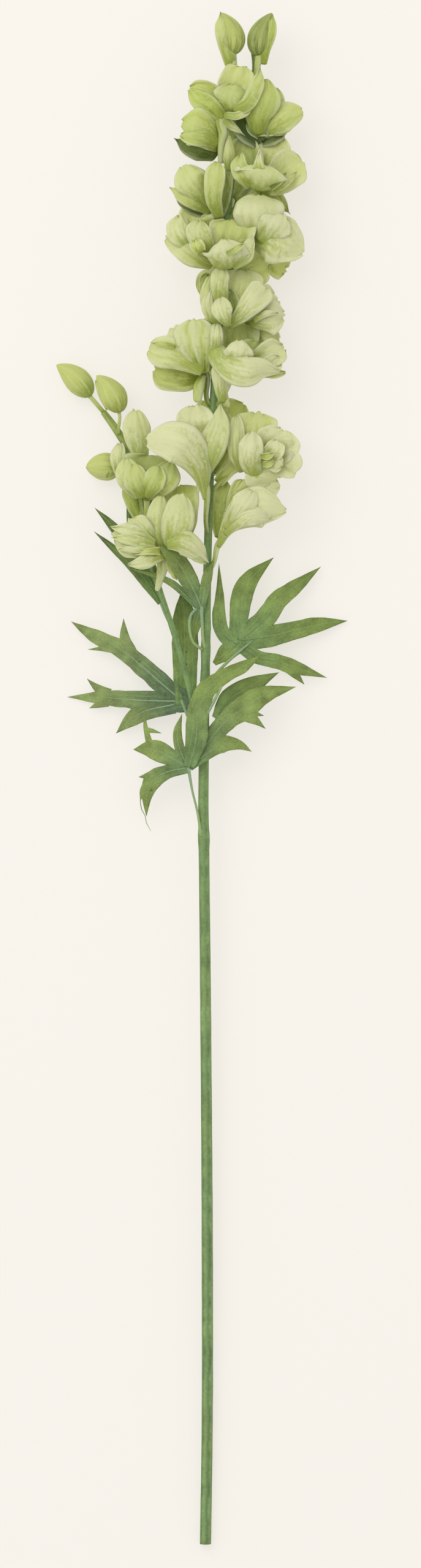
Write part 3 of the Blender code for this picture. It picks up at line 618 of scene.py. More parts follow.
def addPetal(grid, rows, cup, tone, seed, **changes):
    # a ruffled blade: u runs from its foot to its tip and v from edge to edge
    form = dict(petalForm, **changes)
    draw = random.Random(seed)
    shift = Vector([draw.uniform(0, form["noiseReach"]) for _ in range(3)])
    path = smoothPath(rows, form["spacing"])
    places = [Vector(row[:3]) for row in path]
    columns = form["columns"]
    points, facts = [], []
    for k, (heading, side, inner) in enumerate(petalFrames(places)):
        u = k / (len(places) - 1)
        cap = form["blunt"] * max(0, (u - 1 + form["round"]) / form["round"])
        width = max(path[k][3], form["leastWidth"])
        half = 0.5 * form["spread"] * width * math.sqrt(1 - cap ** form["capPower"])
        bend = max(form["leastBend"], abs(cup) * (form["cupFoot"] - form["cupLoss"] * u))
        lift = half / math.sin(bend) * (1 if cup >= 0 else -1)
        for j in range(columns):
            v = 2 * j / (columns - 1) - 1
            rough = ripple(form["edgeNoise"], u, v > 0, shift)
            reach = half * (1 + form["edgeWave"] * rough * abs(v))
            loose = form["middleRuffle"] + (1 - form["middleRuffle"]) * abs(v)
            wave = ripple(form["ruffleNoise"], u, v, shift) * form["ruffle"] * loose * u
            wave += ripple(form["flutterNoise"], u, v, shift) * form["flutter"] * v * v
            wave += ripple(form["tipNoise"], v, 1, shift) * form["ruffle"] * u ** form["tipPower"]
            fold = math.cos(v * form["pleats"] + form["pleatDrift"] * rough)
            wave += form["pleat"] * fold * math.sin(math.pi * u) * (1 - form["pleatLoss"] * u)
            rag = ripple(form["ragNoise"], v, 1, shift) * form["ragged"] * u ** form["ragPower"]
            place = places[k] + side * math.sin(v * bend) / math.sin(bend) * reach + heading * rag
            points.append(place + inner * (lift * (1 - math.cos(v * bend)) + wave))
            # the valleys between pleats are painted darker: painted shade in the folds
            stripe = max(0, -fold) ** form["valleyShadePower"]
            facts.append((u, v, tone + form["stripe"] * stripe * (1 - form["valleyShadeLoss"] * u)))
    faces = []
    for i in range(len(places) - 1):
        for j in range(columns - 1):
            a = i * columns + j
            face = [a, a + 1, a + columns + 1, a + columns]
            faces.append(face if cup >= 0 else face[::-1])
    addClaw(grid, points[:columns], tone, form["thickness"])
    addShell(grid, points, faces, facts, form["thickness"])


floretForm = {
    "depth": 2.1,
    "stalkTone": 0.9,
    "throatBack": 2.5,
    "throatFront": 3.5,
    "throatRadius": 2.6,
    # the throat at each seat is deep green: partly its own colour, partly painted shade where the petals meet
    "throatTone": 1.5,
    "throatRows": 10,
    "throatSides": 14,
}


def addPetals(grid, name, petals, tubes):
    for k, (rows, cup, tone, *more) in enumerate(petals):
        addPetal(grid, rows, cup, tone, f"{name}{k}", **(more[0] if more else {}))
    for points, radii, tone in tubes:
        addSpur(grid, points, radii, tone)


def makeFloret(name, facts):
    # heights of petals are spread about the seat to give a floret its depth
    grid = newGrid()
    seat, axis = Vector(facts["seat"]), Vector(facts["axis"]).normalized()
    branch = facts.get("branch", False)
    stalkTone = facts.get("stalkTone", floretForm["stalkTone"])
    addFootstalk(grid, branch, facts["foot"], seat, axis, facts["stalk"], stalkTone)
    back, front = seat - axis * floretForm["throatBack"], seat + axis * floretForm["throatFront"]
    addBud(
        grid, back, front, (0, 0, 0), floretForm["throatRadius"], floretForm["throatTone"],
        floretForm["throatRows"], floretForm["throatSides"],
    )
    depth = facts.get("depth", floretForm["depth"])
    petals = []
    for rows, *rest in facts["petals"]:
        petals.append(([(x, y, seat.z + (z - seat.z) * depth, width) for x, y, z, width in rows], *rest))
    addPetals(grid, name, petals, facts.get("spurs", []))
    finishPiece(name, grid, flowerFinish, facts["nodes"])


spurForm = {
    "spacing": 1.2,
    "sides": 16,
    "endShares": (0.5, 0.8, 0.95, 1.0),
    "point": 0.05,
}


def addSpur(grid, points, radii, tone):
    # a tapering tube whose free end is rounded
    path = smoothPath(points, spurForm["spacing"])
    numbers = stretched(radii, len(path))
    heading = (path[-1] - path[-2]).normalized()
    end, last = path[-1], numbers[-1]
    for share in spurForm["endShares"]:
        path.append(end + heading * last * share)
        numbers.append(last * math.sqrt(1 - share**2) + spurForm["point"])
    addTube(grid, path, numbers, spurForm["sides"], tone)


def stretched(numbers, count):
    # the same run of numbers read at more places
    found = []
    for k in range(count):
        at = k / (count - 1) * (len(numbers) - 1)
        low = min(int(at), len(numbers) - 2)
        found.append(numbers[low] + (numbers[low + 1] - numbers[low]) * (at - low))
    return found


# Buds: a closed body of sepals, with any loose sepals and strands of its own.

budForm = {
    "rows": 26,
    "sides": 30,
    "pointed": 0.35,
    "sepals": 5,
    "seamTurn": 1.4,
    "groove": 0.07,
    "groovePower": 3,
    "rough": 0.03,
    "seamTone": 0.35,
    "seamPower": 4,
    "stalkTone": 0.8,
    "stalkSteps": 6,
    "sunk": 2,
    "finish": 2,
    "endGap": 0.001,
    "sideAid": (0.1, 0.2, 1),
    "belly": 0.85,
    "fullness": 0.62,
    "pointPower": 2.5,
    "noiseScale": 1.5,
    "noiseAlong": 3,
    "across": 0.9,
}


def addBud(grid, base, tip, bow, radius, tone, rows=budForm["rows"], sides=budForm["sides"],
           pointed=budForm["pointed"]):
    # closed sepals round a bowed middle line, with shallow grooves that twist between them
    bow = Vector(bow)
    control = (base + tip) / 2 + bow * 2
    rings = []
    for i in range(rows + 1):
        u = min(1 - budForm["endGap"], max(budForm["endGap"], i / rows))
        here = base * (1 - u) ** 2 + control * 2 * u * (1 - u) + tip * u * u
        heading = ((control - base) * (1 - u) + (tip - control) * u).normalized()
        side = heading.cross(Vector(budForm["sideAid"])).normalized()
        other = heading.cross(side)
        full = math.sin(math.pi * u ** budForm["belly"]) ** budForm["fullness"]
        reach = radius * full * (1 - pointed * u ** budForm["pointPower"])
        ring, numbers = [], []
        for n in range(sides):
            turn = 2 * math.pi * n / sides
            seam = abs(math.cos(budForm["sepals"] * turn / 2 + budForm["seamTurn"] * u))
            dip = (1 - seam) ** budForm["groovePower"]
            groove = 1 - budForm["groove"] * dip * math.sin(math.pi * u)
            spot = Vector((math.cos(turn), math.sin(turn), u * budForm["noiseAlong"]))
            rough = 1 + budForm["rough"] * noise.noise(spot * budForm["noiseScale"] + base)
            ring.append(here + (side * math.cos(turn) + other * math.sin(turn)) * reach * groove * rough)
            across = budForm["across"] * math.sin(budForm["sepals"] * turn)
            numbers.append((u, across, tone + budForm["seamTone"] * (1 - seam) ** budForm["seamPower"]))
        rings.append(addVerts(grid, ring, numbers))
    closeRings(grid, rings, budForm["finish"])


def makeBud(name, facts):
    grid = newGrid()
    seat, tip = Vector(facts["seat"]), Vector(facts["tip"])
    axis = (tip - seat).normalized()
    if facts["foot"] is None:  # the bud at the side branch's end carries straight on from it
        start = branchPath[-1][0]
        steps = budForm["stalkSteps"]
        path = [start.lerp(seat + axis, k / steps) for k in range(steps + 1)]
        addTube(grid, path, [facts["stalk"]] * (steps + 1), stalkForm["sides"], budForm["stalkTone"])
    else:
        branch = facts.get("branch", False)
        end = seat + axis * budForm["sunk"]
        addFootstalk(grid, branch, facts["foot"], end, axis, facts["stalk"], budForm["stalkTone"])
    pointed = facts.get("pointed", budForm["pointed"])
    addBud(grid, seat, tip, facts["bow"], facts["radius"], facts["tone"], pointed=pointed)
    addPetals(grid, name, facts.get("petals", []), facts.get("strands", []))
    finishPiece(name, grid, flowerFinish, facts["nodes"])


tipLeftBud = {
    "nodes": ["bud_tip_left"], "seat": (16.5, 974, 36), "tip": (9.6, 1001.5, 38), "bow": (3.2, 0, 0),
    "radius": 9.3, "tone": 1.1, "foot": 950, "stalk": (2.6, 3.7),
    "petals": [
        ([(17, 964, 37, 6), (14.6, 974, 41, 9), (12.4, 985, 44, 11), (10.4, 994, 43, 8), (9.6, 1001, 39, 1)],
         -0.9, 0.7),
    ],
}
makeBud("tipLeftBud", tipLeftBud)

tipRightBud = {
    "nodes": ["bud_tip_right"], "seat": (34.6, 973, 33), "tip": (43.2, 1001.5, 35), "bow": (-3.0, 0, 0),
    "radius": 8.7, "tone": 1.4, "foot": 950, "stalk": (2.2, 2.9),
    "petals": [
        ([(37.5, 968, 34, 4), (38.6, 976, 38, 6), (41, 986, 40, 8), (42.8, 994, 39, 6),
          (43.4, 1000.6, 35, 1)], -0.9, 1.05),
    ],
    "strands": [([(31.6, 979, 31), (31.8, 969, 33), (31, 957, 33)], [2.6, 1.6, 1.2], 1.8)],
}
makeBud("tipRightBud", tipRightBud)

smallBud = {
    "nodes": ["bud_small"], "seat": (16.8, 899, 39), "tip": (15.6, 921, 43), "bow": (-0.6, 0, 0),
    "radius": 3.9, "tone": 0.8, "foot": 884, "stalk": (1.2, 1.6),
    "petals": [([(15, 898, 42, 4), (14, 908, 45, 5), (15, 920, 44, 2)], -0.8, 0.5)],
}
makeBud("smallBud", smallBud)

branchEndBud = {
    "nodes": ["bud_branch_end"], "seat": (-75.5, 752, 12), "tip": (-98.0, 773, 12), "bow": (1.2, 1.6, 0),
    "radius": 8.9, "tone": 0.75, "foot": None, "stalk": 1.5,
}
makeBud("branchEndBud", branchEndBud)

branchUpperBud = {
    "nodes": ["bud_branch_upper"], "seat": (-56.5, 741, 20), "tip": (-71.6, 765.5, 23), "bow": (2.2, 1.0, 0),
    "radius": 9.2, "tone": 0.8, "foot": 728, "stalk": (1.1, 1.1), "branch": True,
    "petals": [([(-64, 744, 20, 3), (-68, 753, 24, 4.5), (-72, 762, 23, 2)], -0.8, 0.6)],
}
makeBud("branchUpperBud", branchUpperBud)

branchTallBud = {
    "nodes": ["bud_branch_tall"], "seat": (-42.0, 710, 24), "tip": (-46.5, 738, 27), "bow": (-0.8, 0, 0),
    "radius": 6.0, "tone": 0.3, "foot": 700, "stalk": (1.6, 2.6), "branch": True,
    "petals": [
        ([(-42, 706, 27, 7), (-43.6, 719, 31, 13), (-45.4, 731, 32, 17), (-46, 743, 29, 13)], -0.9, 0.3),
    ],
}
makeBud("branchTallBud", branchTallBud)

branchLowBud = {
    "nodes": ["bud_branch_low"], "seat": (-55.0, 705.5, 14), "tip": (-78.6, 706, 10), "bow": (0, 0.4, 0),
    "radius": 9.3, "tone": 0.7, "pointed": 0.0, "foot": 694, "stalk": (1.6, 2.4), "branch": True,
    "petals": [
        ([(-55, 698, 24, 6), (-57, 707, 28, 9), (-57, 715, 28, 9), (-56, 721, 25, 6)], -0.7, 0.15),
        ([(-64, 702, 20, 6), (-71, 704, 18, 8), (-77.5, 705.5, 12, 6)], -0.9, 0.7),
    ],
}
makeBud("branchLowBud", branchLowBud)
print("buds made")


# Florets: each lists its petals roughly from the back to the front.

# A petal's tone above 1 turns it deep green: partly the petals' own colour, partly painted shade on petals
# that lie behind others or in recesses.
crownLeft = {
    "nodes": ["bloom_crown_left"], "seat": (14.0, 936, 38), "axis": (0.35, 0.80, 0.45), "foot": 912,
    "stalk": (1.6, 2.6), "stalkTone": 0.2,
    "petals": [
        ([(16, 937, 39, 10), (16.5, 948, 40.5, 18), (20, 957, 41, 21), (23, 966, 41, 18)], 0.7, 0.85,
         {"round": 0.14}),
        ([(14, 938, 38, 8), (4, 949, 38, 11), (-4, 953.0, 38, 9), (-10.5, 953, 38, 5)], 0.9, 1.05),
        ([(16, 935.5, 40, 10), (17, 941, 43, 21), (17.6, 947.5, 44, 24), (18.5, 954, 42.5, 20)], -0.8, 0.75),
        ([(18, 936.5, 42, 6), (27, 941, 45, 9), (32, 949.5, 45, 9), (34.6, 957, 44, 7), (35.2, 966, 42, 0)],
         -0.6, 0.7),
        ([(11, 932, 41, 8), (4, 939.5, 43, 11), (-4, 944, 42, 12), (-10.6, 950.5, 40, 8)], -0.8, 0.95,
         {"pleat": 0.4, "stripe": 0.5}),
        ([(13, 934, 42, 4), (20, 933.5, 43, 5), (26.5, 937, 43, 5), (29, 942, 42, 0)], -0.5, 0.35),
        ([(12, 931, 41, 6), (18, 926.5, 40, 5), (25, 921.5, 38, 0)], -0.8, 0.3),
    ],
    "spurs": [
        ([(10, 939, 41), (9, 931, 41), (11, 923, 40), (10, 914, 38), (9.8, 905, 36)],
         [3.4, 3.8, 3.0, 2.4, 2.0], 0.45),
    ],
}
makeFloret("crownLeftFloret", crownLeft)

crownRight = {
    "nodes": ["bloom_crown_right"], "seat": (34.5, 926, 31), "axis": (0.70, 0.62, 0.35), "foot": 912,
    "stalk": (1.5, 2.4), "depth": 1.4,
    "petals": [
        # The petals of tone 1.7 and more are deep green pieces set in the shaded gap at the floret's base:
        # painted shade.
        ([(36, 917, 33, 12), (29, 926, 34, 20), (23, 938, 33, 14)], 0.5, 2.1),
        ([(34, 919, 31, 10), (42, 922.5, 32, 14), (51, 925, 31, 10)], 0.4, 1.8),
        ([(36, 928, 34, 9), (42, 942, 35, 16), (44.5, 953, 34, 12)], -0.7, 1.1),
        ([(34, 922, 35, 9), (33.8, 932, 41, 17), (37.6, 945, 44, 21), (39.5, 957.5, 40, 13)], -0.9, 0.9,
         {"round": 0.3}),
        ([(36, 923, 33, 9), (43.6, 929, 37, 16), (52, 934, 39, 18), (63, 937, 37, 14)], -0.6, 0.75,
         {"round": 0.36, "ragged": 0.6}),
        ([(32, 922.6, 34, 3), (42, 922.8, 34, 3), (52, 922.6, 33, 2)], 0.3, 0.9),
        ([(35, 921, 34, 5), (30, 925, 36, 6), (27, 930, 35, 3)], 0.5, 1.7),
    ],
}
makeFloret("crownRightFloret", crownRight)

shoulderLeft = {
    "nodes": ["bloom_shoulder_left"], "seat": (7.0, 917, 31), "axis": (-0.85, 0.35, 0.35), "foot": 900,
    "stalk": (1.6, 2.6),
    "petals": [
        ([(7, 912, 29, 9), (3, 925, 29, 17), (-2, 938, 30, 14)], 0.5, 1.4),
        ([(8, 917, 34, 8), (0.6, 923, 39, 19), (-7.4, 927.5, 41, 24), (-15.6, 928.5, 38, 18)], -0.9, 0.85),
        ([(8, 916, 35, 8), (-1, 919, 40, 12), (-10, 920.5, 41, 12), (-16.4, 921, 38, 9)], -0.7, 0.9),
        # The petal of tone 1.9 is a deep green crescent at the floret's base: painted shade.
        ([(8, 911, 32, 12), (-2.4, 913, 37, 16), (-12.4, 914.8, 37, 12), (-20, 919.2, 34, 0)], -0.9, 1.9),
        ([(8, 913, 33, 6), (-1, 916, 38.5, 7), (-9, 917, 39, 5)], -0.7, 0.95),
    ],
}
makeFloret("shoulderLeftFloret", shoulderLeft)

shoulderRight = {
    "nodes": ["bloom_shoulder_right"], "seat": (32.0, 891, 34), "axis": (0.45, 0.50, 0.70), "foot": 872,
    "stalk": (1.7, 2.6), "stalkTone": 1.5, "depth": 2.6,
    "petals": [
        ([(36, 886, 30, 9), (45, 882.5, 29, 9), (50, 877.5, 27, 7), (54.5, 872.5, 25, 0)], 0.5, 1.4),
        ([(39, 891, 34, 14), (42, 903, 34, 20), (44, 913, 33, 20), (44.5, 922, 32, 15)], 0.5, 0.6),
        ([(32, 892, 35, 12), (28, 903, 35, 19), (25.5, 911, 34, 19), (27, 920, 33, 14)], 0.8, 1.35),
        ([(39, 888, 35, 12), (48, 893.5, 36, 21), (55, 900, 36, 24), (62.2, 905, 34, 17)], 0.5, 0.7),
        ([(31, 888, 38, 10), (25, 894, 42, 12), (21.4, 901, 41, 11), (22, 908, 39, 8)], -0.6, 0.75),
        ([(34, 898, 44, 7), (34.2, 904, 44, 4), (34.8, 910, 43, 0)], 0.3, 0.1),
        ([(33, 885, 38, 17), (34.5, 890, 43, 28), (36, 895.5, 44.5, 32), (36.6, 901.5, 43, 27)], -0.8, 0.45,
         {"round": 0.16}),
        ([(42, 886.5, 40, 4), (47, 891, 42, 6), (52, 895.5, 41, 3)], 0.6, 1.5),
        ([(44, 885.5, 38, 5), (52, 890, 40, 5), (59, 897, 38, 2)], -0.6, 0.6),
    ],
}
makeFloret("shoulderRightFloret", shoulderRight)

upperLeft = {
    "nodes": ["bloom_upper_left"], "seat": (4.5, 868, 33), "axis": (-0.65, 0.68, 0.35), "foot": 855,
    "stalk": (2.2, 2.6), "stalkTone": 1.7,
    "petals": [
        ([(8, 870, 33, 8), (11.6, 884, 34, 9), (11.4, 900, 33, 6)], 0.5, 1.5),
        ([(4, 870, 33, 6), (-8, 874, 34, 8), (-18, 880, 34, 5)], 0.4, 1.8),
        ([(2, 874, 32, 8), (-2, 886, 32, 15), (-5, 898, 31, 12)], 0.5, 1.1),
        ([(2, 875, 35, 8), (-4, 884, 40, 16), (-10, 892, 42, 20), (-14, 901.5, 39, 16)], -0.9, 0.55),
        ([(3, 872, 34, 5), (-8, 877, 38, 8), (-17, 883, 38, 8), (-23.4, 887.2, 36, 1)], -0.7, 0.75),
        ([(8.4, 867, 37, 6), (5.4, 878, 42, 10), (5.2, 888, 44, 12.5), (6.6, 898, 43, 12), (7, 903.6, 41, 9)],
         -0.7, 0.75, {"pleat": 0.4}),
    ],
}
makeFloret("upperLeftFloret", upperLeft)

upperRight = {
    "nodes": ["bloom_upper_right"], "seat": (31.0, 850, 27), "axis": (0.55, 0.15, 0.80), "foot": 838,
    "stalk": (1.5, 2.6),
    "petals": [
        ([(38, 844, 26, 10), (45, 838.5, 26, 15), (52.5, 834, 25, 14)], 0.4, 1.0, {"round": 0.12}),
        ([(30, 848, 25, 10), (24, 852, 25, 16), (17, 856, 25, 12)], 0.4, 1.0),
        ([(37, 852, 32, 18), (35, 864, 38, 28), (34.4, 874, 39, 29), (34.5, 882.5, 36, 27)], -0.5, 0.15,
         {"round": 0.14}),
        ([(33, 859, 32, 20), (43, 855.5, 37, 30), (53, 850.5, 37, 29), (63.4, 845, 34, 10)], -0.5, 0.1,
         {"round": 0.14}),
        ([(36, 851, 35, 12), (43, 861, 39.5, 22), (49, 870, 38, 20)], -0.5, 0.1),
    ],
}
makeFloret("upperRightFloret", upperRight)

middleLeft = {
    "nodes": ["bloom_middle_left"], "seat": (5.0, 847, 36), "axis": (-0.15, 0.10, 0.98), "foot": 828,
    "stalk": (1.5, 2.8), "depth": 2.0,
    "petals": [
        ([(6, 846, 33, 20), (14, 852, 33, 30), (24, 858, 32, 24)], 0.4, 1.2),
        ([(17, 834, 33, 12), (27, 835.5, 35, 21), (34, 837, 35, 25), (40.5, 839, 34, 22)], 0.6, 1.05),
        ([(-2, 858, 34, 17), (-6, 864, 36, 23), (-7, 869, 35, 21), (-6, 874, 34, 14)], 0.6, 0.6),
        ([(5, 838, 36, 9), (-4, 842.5, 41, 17), (-14, 849, 42, 18), (-26, 855, 38, 11)], -0.6, 0.4),
        ([(-8, 848, 41, 10), (-15, 855, 43, 15), (-18, 862, 41, 15), (-17, 868.5, 38, 11)], -0.5, 0.25),
        ([(16, 843, 39, 16), (16, 851, 41, 24), (17, 858, 41, 28), (17, 866, 40, 29)], 0.4, 1.05,
         {"pleat": 0.7, "pleats": 13, "round": 0.1}),
        ([(2, 845, 43, 9), (-3, 853, 45, 15), (-5, 860, 45, 15), (-4, 865, 43, 11)], -0.6, 0.45),
        ([(-3, 844, 45, 6), (-5.5, 848, 46, 9), (-7, 852, 45, 7)], 0.7, 1.0),
        ([(16, 836, 42, 9), (24.5, 842.5, 45, 12), (28.6, 850, 44, 7), (30.5, 857, 41, 0)], -0.6, 0.15),
        ([(13, 833.5, 42, 18), (13, 839, 47, 26), (13, 845.5, 48, 26), (11.6, 852, 46, 18)], -0.8, 0.1),
        ([(14, 843, 50, 3), (20, 846, 50, 4), (24, 849, 48, 2)], 0.4, 0.9),
    ],
}
makeFloret("middleLeftFloret", middleLeft)

centre = {
    "nodes": ["bloom_centre"], "seat": (18.0, 808, 36), "axis": (0.05, 0.10, 1.00), "foot": 797,
    "stalk": (1.5, 2.8), "depth": 1.9,
    "petals": [
        ([(4, 808, 31, 7), (1, 820, 31, 9), (0.5, 832, 30, 8)], 0.4, 1.3),
        ([(18, 806, 36, 14), (20, 816, 37, 24), (22, 825, 37, 28), (23, 834, 35, 24)], 0.6, 0.55,
         {"pleat": 0.4, "stripe": 0.6}),
        ([(17, 806, 37, 9), (15, 813, 37, 13), (14, 821, 37, 9)], 0.8, 1.3),
        ([(8, 797, 36, 6), (2.6, 808, 39, 9), (0.6, 818, 40, 8), (3.4, 830, 38, 6)], -0.7, 0.6),
        ([(9.5, 811, 40, 9), (9, 821, 42, 11), (9.4, 829, 42, 11), (9.5, 835.5, 40, 9)], -0.6, 0.35),
        ([(7, 797, 40, 5), (3, 804, 42, 8), (1, 811, 42, 7.5), (3, 821, 40, 2)], -0.6, 0.15),
        ([(20, 800, 37, 4), (31, 807, 40, 8), (42, 817, 38, 5)], 0.6, 0.7),
        ([(14.6, 796, 40, 4), (23, 804, 44, 11), (32, 814.5, 45, 16), (39, 823, 42, 17)], -0.5, 0.15,
         {"round": 0.14}),
        ([(15, 796, 44, 3), (12, 802, 48, 11), (10, 809, 48, 12.5), (8.5, 815, 46, 9)], -0.9, 0.15),
    ],
}
makeFloret("centreFloret", centre)

centreRight = {
    "nodes": ["bloom_centre_right"], "seat": (27.0, 799, 29), "axis": (0.85, 0.05, 0.45), "foot": 790,
    "stalk": (1.5, 2.6), "depth": 1.2,
    "petals": [
        ([(28, 794, 30, 8), (38, 788.5, 32, 15), (48, 787, 32, 15)], 0.5, 0.35),
        ([(28, 800, 34, 8), (34, 808, 37, 15), (40, 813.5, 38, 20), (46, 816, 35, 17)], 0.5, 0.1),
        ([(28, 800, 36, 8), (36, 802, 42, 18), (44, 803.5, 43, 23), (51, 804, 38, 20)], -0.6, 0.05,
         {"round": 0.36, "ragged": 0.5}),
        ([(31, 800, 43, 3), (39, 804.5, 47, 4), (47, 805, 45, 2)], -0.6, 0.1),
        ([(26, 795, 30, 8), (31, 788, 31, 12), (34, 781, 31, 10)], 0.6, 1.1),
        ([(30, 800, 30, 8), (38, 804, 29, 14), (48, 804, 28, 14)], 0.4, 0.8),
    ],
}
makeFloret("centreRightFloret", centreRight)

lowerRight = {
    "nodes": ["bloom_lower_right"], "seat": (18.0, 768, 34), "axis": (0.25, 0.20, 0.93), "foot": 745,
    "stalk": (1.6, 4.6), "stalkTone": 0.25, "depth": 1.9,
    "petals": [
        ([(20, 772, 33, 14), (21, 784, 34, 22), (22, 793, 33, 23), (22, 801, 31, 17)], 0.6, 1.25),
        ([(22, 769, 36, 14), (29, 777, 38, 20), (34, 787, 37, 18)], 0.6, 1.35),
        ([(28, 770, 37, 9), (37, 775.5, 40, 15), (45, 780, 39, 17), (50.5, 783, 36, 13)], 0.5, 0.35),
        ([(30, 767, 38, 8), (40, 770, 41, 12), (48, 775, 39, 11)], 0.5, 0.3),
        ([(6, 780, 42, 6), (7, 790, 44, 7.5), (7, 798, 42, 6)], -0.6, 0.2),
        ([(19, 770, 44, 14), (20, 775, 47, 18), (21, 780, 48, 18), (21, 787, 46, 13)], -0.8, 0.0),
        ([(34, 766, 41, 4), (44, 765.2, 41, 5), (51.5, 766.6, 39, 4)], -0.5, 0.7),
        ([(11.5, 747, 37, 5), (10, 755, 40, 8), (10, 763, 42, 12), (11, 771, 43, 14)], -0.8, 0.2),
        ([(3, 786, 40, 9), (8.6, 776, 45, 15), (17.5, 768.2, 49, 18), (28, 765.6, 50, 18),
          (38, 768, 47, 12), (48, 767, 42, 4)], -0.7,
         0.1, {"blunt": 0.8}),
    ],
    "spurs": [([(10, 759, 38), (12, 751, 38), (13.4, 746, 37)], [1.8, 2.8, 2.4], 0.9)],
}
makeFloret("lowerRightFloret", lowerRight)

lowerLeft = {
    "nodes": ["bloom_lower_left"], "seat": (-1.5, 767, 32), "axis": (-0.80, 0.50, 0.30), "foot": 744,
    "stalk": (1.6, 2.8), "stalkTone": 1.4, "depth": 2.8,
    "petals": [
        ([(-3, 764, 31, 10), (-14, 763.8, 33, 18), (-24, 765, 34, 20), (-34, 768.5, 34, 15)], 0.5, 1.15,
         {"stripe": 0.3}),
        ([(-3, 767, 34, 8), (-10, 778, 36, 18), (-16, 787, 36, 22), (-21, 796, 34, 19)], -0.3, 0.15,
         {"pleat": 0.4}),
        ([(1, 768, 34, 8), (2, 779, 37, 14), (3, 789, 37, 17), (4, 800, 36, 14)], -0.3, 0.3, {"pleat": 0.4}),
        ([(-2, 766, 35, 8), (-5, 778, 38, 20), (-7, 789, 38.6, 26), (-8, 801, 36.5, 26)], -0.25, 0.3,
         {"pleat": 0.5, "stripe": 1.5}),
        ([(-2, 767, 36, 6), (-15, 774.5, 38, 15), (-25, 779, 38.5, 20), (-37, 782, 37, 19)], -0.35, 0.4,
         {"pleat": 0.4, "stripe": 0.9}),
        ([(-20, 783, 39, 2), (-27, 784.5, 40, 3), (-34, 785, 39, 2)], -0.4, 0.9),
    ],
    "spurs": [([(-2, 765, 35), (-4.6, 757, 38), (-5.4, 750, 38)], [2.4, 3.8, 3.0], 0.8)],
}
makeFloret("lowerLeftFloret", lowerLeft)

trumpetLeft = {
    "nodes": ["bloom_trumpet_left"], "seat": (-1.0, 696, 37), "axis": (-0.38, 0.85, 0.35), "foot": 664,
    "stalk": (1.5, 3.0), "stalkTone": 1.3, "depth": 2.9,
    "petals": [
        ([(3, 703, 33, 7), (9, 715, 34, 12), (13, 728, 34, 12), (12, 742, 32, 7)], 0.5, 1.1),
        ([(-3, 716, 37, 14), (-6, 728, 39, 22), (-7, 736, 39.5, 23), (-7, 745, 37, 17)], 0.4, 0.15),
        ([(-2, 702, 38, 10), (1.5, 712, 41, 17), (5, 722, 42, 18), (8.4, 733, 41, 13), (9.2, 746, 39, 2)],
         -0.6, 0.3),
        ([(-0.4, 684, 37, 2.5), (-1.2, 691, 37.6, 6), (-3, 701, 40, 14), (-7.6, 711, 43, 21),
          (-15.5, 719, 45, 27), (-26, 722.5, 44, 24),
          (-38.5, 722, 41, 17)], -0.7, 0.0, {"pleat": 0.25}),
    ],
    "spurs": [([(-4, 700, 38), (-5.2, 693, 38), (-5, 689, 37)], [1.2, 1.2, 0.8], 0.4)],
}
makeFloret("trumpetLeftFloret", trumpetLeft)

trumpetRight = {
    "nodes": ["bloom_trumpet_right"], "seat": (10.0, 657, 33), "axis": (0.74, 0.62, 0.25), "foot": 640,
    "stalk": (1.5, 2.6), "stalkTone": 0.6,
    "petals": [
        ([(8, 660, 30, 4), (8, 675, 30, 9), (11, 687, 30, 12), (13, 696, 29, 9)], 0.5, 1.35),
        ([(16, 676, 33, 6), (19, 687, 34, 9), (24, 697, 33, 8)], 0.5, 0.8),
        ([(20, 684, 34, 8), (30, 691, 36, 12), (40, 692, 37, 14), (48, 693, 35, 13)], 0.4, 0.1),
        ([(8, 653, 34, 3), (14, 665.5, 39, 10), (26, 676, 44, 23), (38, 679, 45, 24), (51.5, 676.5, 41, 8)],
         -0.7, 0.05,
         {"round": 0.14}),
        ([(13, 664, 41, 5), (20, 674, 46, 12), (26, 682, 47, 16), (30.5, 689.5, 45, 13)], -0.7, 0.0),
        ([(12, 661, 40, 4), (22, 669.5, 46, 9), (32, 673, 47, 11), (42, 671, 44, 6)], -0.7, 0.05),
    ],
}
makeFloret("trumpetRightFloret", trumpetRight)

sideOpen = {
    "nodes": ["bloom_side_open"], "seat": (38.0, 712, 35), "axis": (0.20, 0.10, 0.97), "foot": 690,
    "stalk": (1.5, 2.8), "depth": 1.9,
    "petals": [
        ([(8, 695, 32, 6), (14, 702, 33, 8), (22, 709, 33, 6)], 0.4, 0.9),
        ([(34, 718, 36, 15), (33, 726, 38, 24), (33, 733, 37, 26), (34, 740.5, 35, 21)], 0.5, 0.75),
        ([(24, 702, 36, 5), (20, 712, 40, 9), (19.6, 724, 41, 11), (20, 738.5, 38, 9)], -0.5, 0.3),
        ([(38, 710, 38, 16), (43, 716, 40, 25), (48, 722.5, 40, 27), (51.5, 729, 38, 18)], 0.4, 0.15),
        ([(38, 714, 37, 16), (41, 707, 39, 30), (44, 701.5, 40, 36), (46, 697, 38, 30)], 0.5, 0.3),
        ([(42, 712, 38, 14), (48, 711, 40, 22), (54, 710.5, 40, 24), (59, 711, 38, 16)], 0.5, 0.3),
        ([(40, 710, 42, 9), (44.5, 715.5, 44, 12), (47, 722, 43, 9)], 0.5, 0.2),
        ([(40, 710, 42, 8), (45, 707, 44, 11), (49, 705, 43, 8)], 0.6, 0.35),
        ([(33, 698, 40, 8), (29, 708, 45, 14), (29.6, 718, 46, 15), (30, 728, 44, 11)], -0.6, 0.0),
        ([(36, 711.5, 46, 3), (40.5, 711.5, 47, 4.5), (44, 713.5, 46, 0)], 0.6, 1.1),
        ([(37, 706.5, 45, 3), (41, 706.5, 46, 4), (44.5, 708.5, 45, 0)], 0.6, 0.9),
    ],
}
makeFloret("sideOpenFloret", sideOpen)

